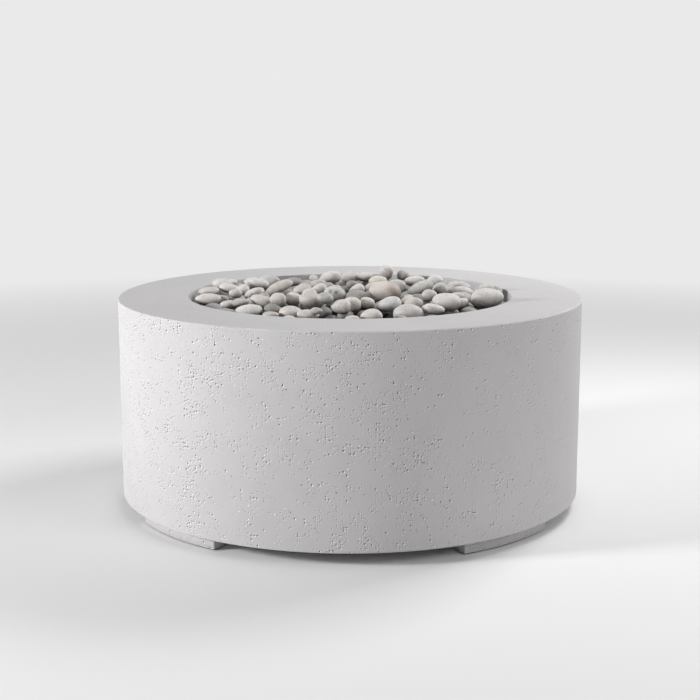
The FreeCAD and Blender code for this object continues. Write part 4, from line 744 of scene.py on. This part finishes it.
def river_stones(name, node_name, around_count, ring_count, seed):
    """The pebbles of one CAD node as one mesh. Attributes keep each pebble's colour, a pattern
    place that turns with it, and how speckled, veined and rough it is. Colours are darkened by
    painted shade on a stone's underside and for stones deep below the heap's crown."""
    chance = np.random.default_rng(seed)
    centre, axes, half = stones_of(node_name)
    count = len(centre)
    directions, faces = ball_grid(around_count, ring_count)
    local = lumpy_balls(directions, half, chance, square=(1.9, 2.4), swell=0.036, waves=1.9)
    tint = np.array([paint(*stone_tints[common_tints[k]])
                     for k in chance.integers(0, len(common_tints), count)])
    speck = chance.uniform(0.0, 0.55, count)
    vein = np.where(chance.random(count) < 0.06, chance.uniform(0.25, 0.5, count), 0.0)
    for *place, kind in known_stones:
        known = stone_at(centre, place)
        if known is not None:
            tint[known] = paint(*stone_tints[kind])
    tint[:, :3] *= np.minimum(chance.uniform(*stone_gain, (count, 1)),
                              brightest_stone / tint[:, :3].max(axis=1, keepdims=True))
    colour = np.repeat(tint[:, None, :], len(directions), 1)
    patched, pitted = stone_at(centre, patched_stone), stone_at(centre, pitted_stone)
    if patched is not None:
        x, y, z = (local[patched] @ axes[patched].T).T
        border = x - patch_start + patch_slope * z + patch_wave[0] * np.sin(patch_wave[1] * z)
        share = patch_share * np.clip(border / patch_fade, 0, 1)[:, None]
        colour[patched] += share * (np.array(patch_paint) - colour[patched])
    if pitted is not None:
        x, y, z = (local[pitted] @ axes[pitted].T).T
        for pit_x, pit_z in pit_places:
            inside = np.clip((pit_radius - np.hypot(x - pit_x, z - pit_z)) / pit_fade, 0, 1)
            share = (inside * (y <= 0))[:, None]
            colour[pitted] *= 1 - pit_shade * share
            local[pitted] *= 1 - pit_depth * share
    points = centre[:, None] + np.einsum("nij,nmj->nmi", axes, local)
    rise = np.linalg.norm(axes[:, 2] * half, axis=1)
    points[..., 2] -= np.maximum(points[..., 2].max(1) - centre[:, 2] - rise, 0)[:, None]
    level = (points[..., 2] - centre[:, 2:]) / rise[:, None]
    under = np.clip((underside_start - level) / underside_fade, 0, 1)
    crown = heap_crown - heap_fall * np.hypot(centre[:, 0], centre[:, 1]) ** 2
    drop = crown - centre[:, 2] - rise
    sunk = np.clip((drop - deep_drop[0]) / (deep_drop[1] - deep_drop[0]), 0, 1)
    # Painted shade: darker on each stone's underside and on stones sunk below the heap's crown.
    light = (1 - underside_shade * under) * (1 - deep_shade * sunk[:, None])
    colour[..., :3] *= light[..., None]
    colour[..., 3] = 1.0
    pattern = local + chance.uniform(-5, 5, (count, 1, 3))
    kind = np.stack([speck, vein, chance.uniform(0.0, 1.0, count)], -1)
    made = mesh_object(name, points.reshape(-1, 3), many_faces(faces, len(directions), count))
    for label, form, field, values in (
            ("stone_tint", "FLOAT_COLOR", "color", colour),
            ("stone_pattern", "FLOAT_VECTOR", "vector", pattern),
            ("stone_kind", "FLOAT_VECTOR", "vector",
             np.repeat(kind[:, None], len(directions), 1))):
        made.data.attributes.new(label, form, "POINT").data.foreach_set(
            field, values.astype(np.float32).ravel())
    return made


def river_stone_finish():
    """Matt worn stone: cloudy tint, dark and light grains, thin pale veins in some, and fine
    pits."""
    made, tree, shader = finish_named("river_stone_worn")
    tint = node(tree, "ShaderNodeAttribute", attribute_name="stone_tint").outputs["Color"]
    place = node(tree, "ShaderNodeAttribute", attribute_name="stone_pattern").outputs["Vector"]
    kind = node(tree, "ShaderNodeAttribute", attribute_name="stone_kind").outputs["Vector"]
    kind = node(tree, "ShaderNodeSeparateXYZ", {"Vector": kind}).outputs
    cloud = noise(tree, place, 58.0, 6.0, 0.66, 0.6)
    fleck, fleck_height = grain(tree, 210.0, 640.0, 0.5, place)
    bands = node(tree, "ShaderNodeTexWave", {
        "Vector": place, "Scale": 16.0, "Distortion": 5.0, "Detail": 3.0,
        "Detail Scale": 1.6}, wave_type="BANDS").outputs["Fac"]
    pores = node(tree, "ShaderNodeTexVoronoi",
                 {"Vector": place, "Scale": 210.0}).outputs["Distance"]
    pits = sums(tree, "MULTIPLY", spread(tree, pores, 0.16, 0.05), spread(tree, cloud, 0.5, 0.6))
    shade = tint
    for share, laid, way in (
            (spread(tree, cloud, 0.3, 0.7, 0.8, 0.0), (0.66, 0.65, 0.64, 1.0), "MULTIPLY"),
            (spread(tree, cloud, 0.5, 0.72, 0.0, 0.4), paint(206, 203, 198), "MIX"),
            (spread(tree, fleck, 0.15, 0.75, 0.6, 0.0), (0.62, 0.61, 0.60, 1.0), "MULTIPLY"),
            (sums(tree, "MULTIPLY", spread(tree, fleck, 0.62, 0.85), kind["X"]),
             paint(78, 76, 74), "MIX"),
            (sums(tree, "MULTIPLY", spread(tree, fleck, 0.34, 0.12), kind["X"]),
             paint(218, 216, 211), "MIX"),
            (sums(tree, "MULTIPLY", spread(tree, bands, 0.9, 1.0), kind["Y"]),
             paint(220, 218, 212), "MIX"),
            (sums(tree, "MULTIPLY", pits, 0.5), paint(96, 93, 90), "MIX")):
        shade = blend_colours(tree, share, shade, laid, way)
    tree.links.new(shade, shader.inputs["Base Color"])
    tree.links.new(spread(tree, kind["Z"], 0.0, 1.0, 0.56, 0.78), shader.inputs["Roughness"])
    shader.inputs["Specular IOR Level"].default_value = 0.4
    worn = raised(tree, cloud, 0.7, 0.003)
    grained = raised(tree, fleck_height, 0.5, 0.001, worn)
    tree.links.new(raised(tree, pits, 0.7, 0.0012, grained, sunk=True), shader.inputs["Normal"])
    return made


stone_finish = river_stone_finish()
for name, node_name, around_count, ring_count, seed in (
        ("river_stones_shown", "river_stones_top", 40, 23, 21),
        ("river_stones_under", "river_stones_lower", 26, 15, 22),
        ("river_stones_between", "river_stones_small", 26, 15, 23)):
    heap = river_stones(name, node_name, around_count, ring_count, seed)
    heap.data.materials.append(stone_finish)
    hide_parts(node_name)
    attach(heap, "drum")

# Control plate, knob and igniter
# Brushed stainless plate on four screws in the pocket at the back, with a fluted black knob on the
# valve's stem and a push-button spark igniter with a black bezel.
plate_finish = brushed_finish("stainless_plate", paint(168, 170, 172), paint(205, 207, 209),
                              (1.0, 1.0, 14.0), (0.4, 0.26))
knob_finish = even_finish("knob_black", paint(24, 24, 25), paint(38, 38, 39), (150, 1800),
                          (0.42, 0.34), bump=0.15)
button_finish = even_finish("button_black", paint(30, 30, 31), paint(44, 44, 45), (150, 1800),
                            (0.36, 0.28))
brass_finish = even_finish("brass_turned", paint(176, 142, 74), paint(212, 180, 108),
                           (140, 1600), (0.4, 0.26), metallic=1.0, bump=0.12)
give_finish(plate_finish, "control_plate")
give_finish(zinc_finish, "plate_screws", "valve_nut", "igniter_nut", "lever_nut")
give_finish(knob_finish, "control_knob", "igniter_housing")
give_finish(button_finish, "igniter_button")
give_finish(brass_finish, "plate_inserts", "gas_valve_body", "valve_plunger", "valve_stem",
            "orifice_spud", "inlet_fitting", "inlet_locknut", "shutoff_body", "shutoff_stem",
            "supply_hose_nuts", "burner_hose_nuts")

# Shut-off valve, regulator and inlet bracket
# A folded zinc plated bracket on the drum's flange holds the gas inlet, with a quarter-turn ball
# valve with a yellow lever and a grey painted low-pressure regulator above it.
bracket_finish = even_finish("bracket_zinc", paint(146, 148, 148), paint(184, 186, 186),
                             (46, 1100), (0.5, 0.34), metallic=0.9)
chrome_finish = even_finish("ball_chrome", paint(196, 198, 200), paint(222, 224, 226),
                            (90, 1200), (0.14, 0.08), metallic=1.0, bump=0.05)
lever_finish = even_finish("lever_yellow_dip", paint(206, 158, 22), paint(222, 178, 40),
                           (110, 1300), (0.42, 0.32))
regulator_finish = even_finish("regulator_grey_paint", paint(116, 120, 124),
                               paint(142, 146, 150), (170, 900), (0.5, 0.38), metallic=0.2,
                               bump=0.35)
give_finish(bracket_finish, "inlet_bracket")
give_finish(chrome_finish, "shutoff_ball")
give_finish(lever_finish, "shutoff_lever")
give_finish(regulator_finish, "gas_regulator")
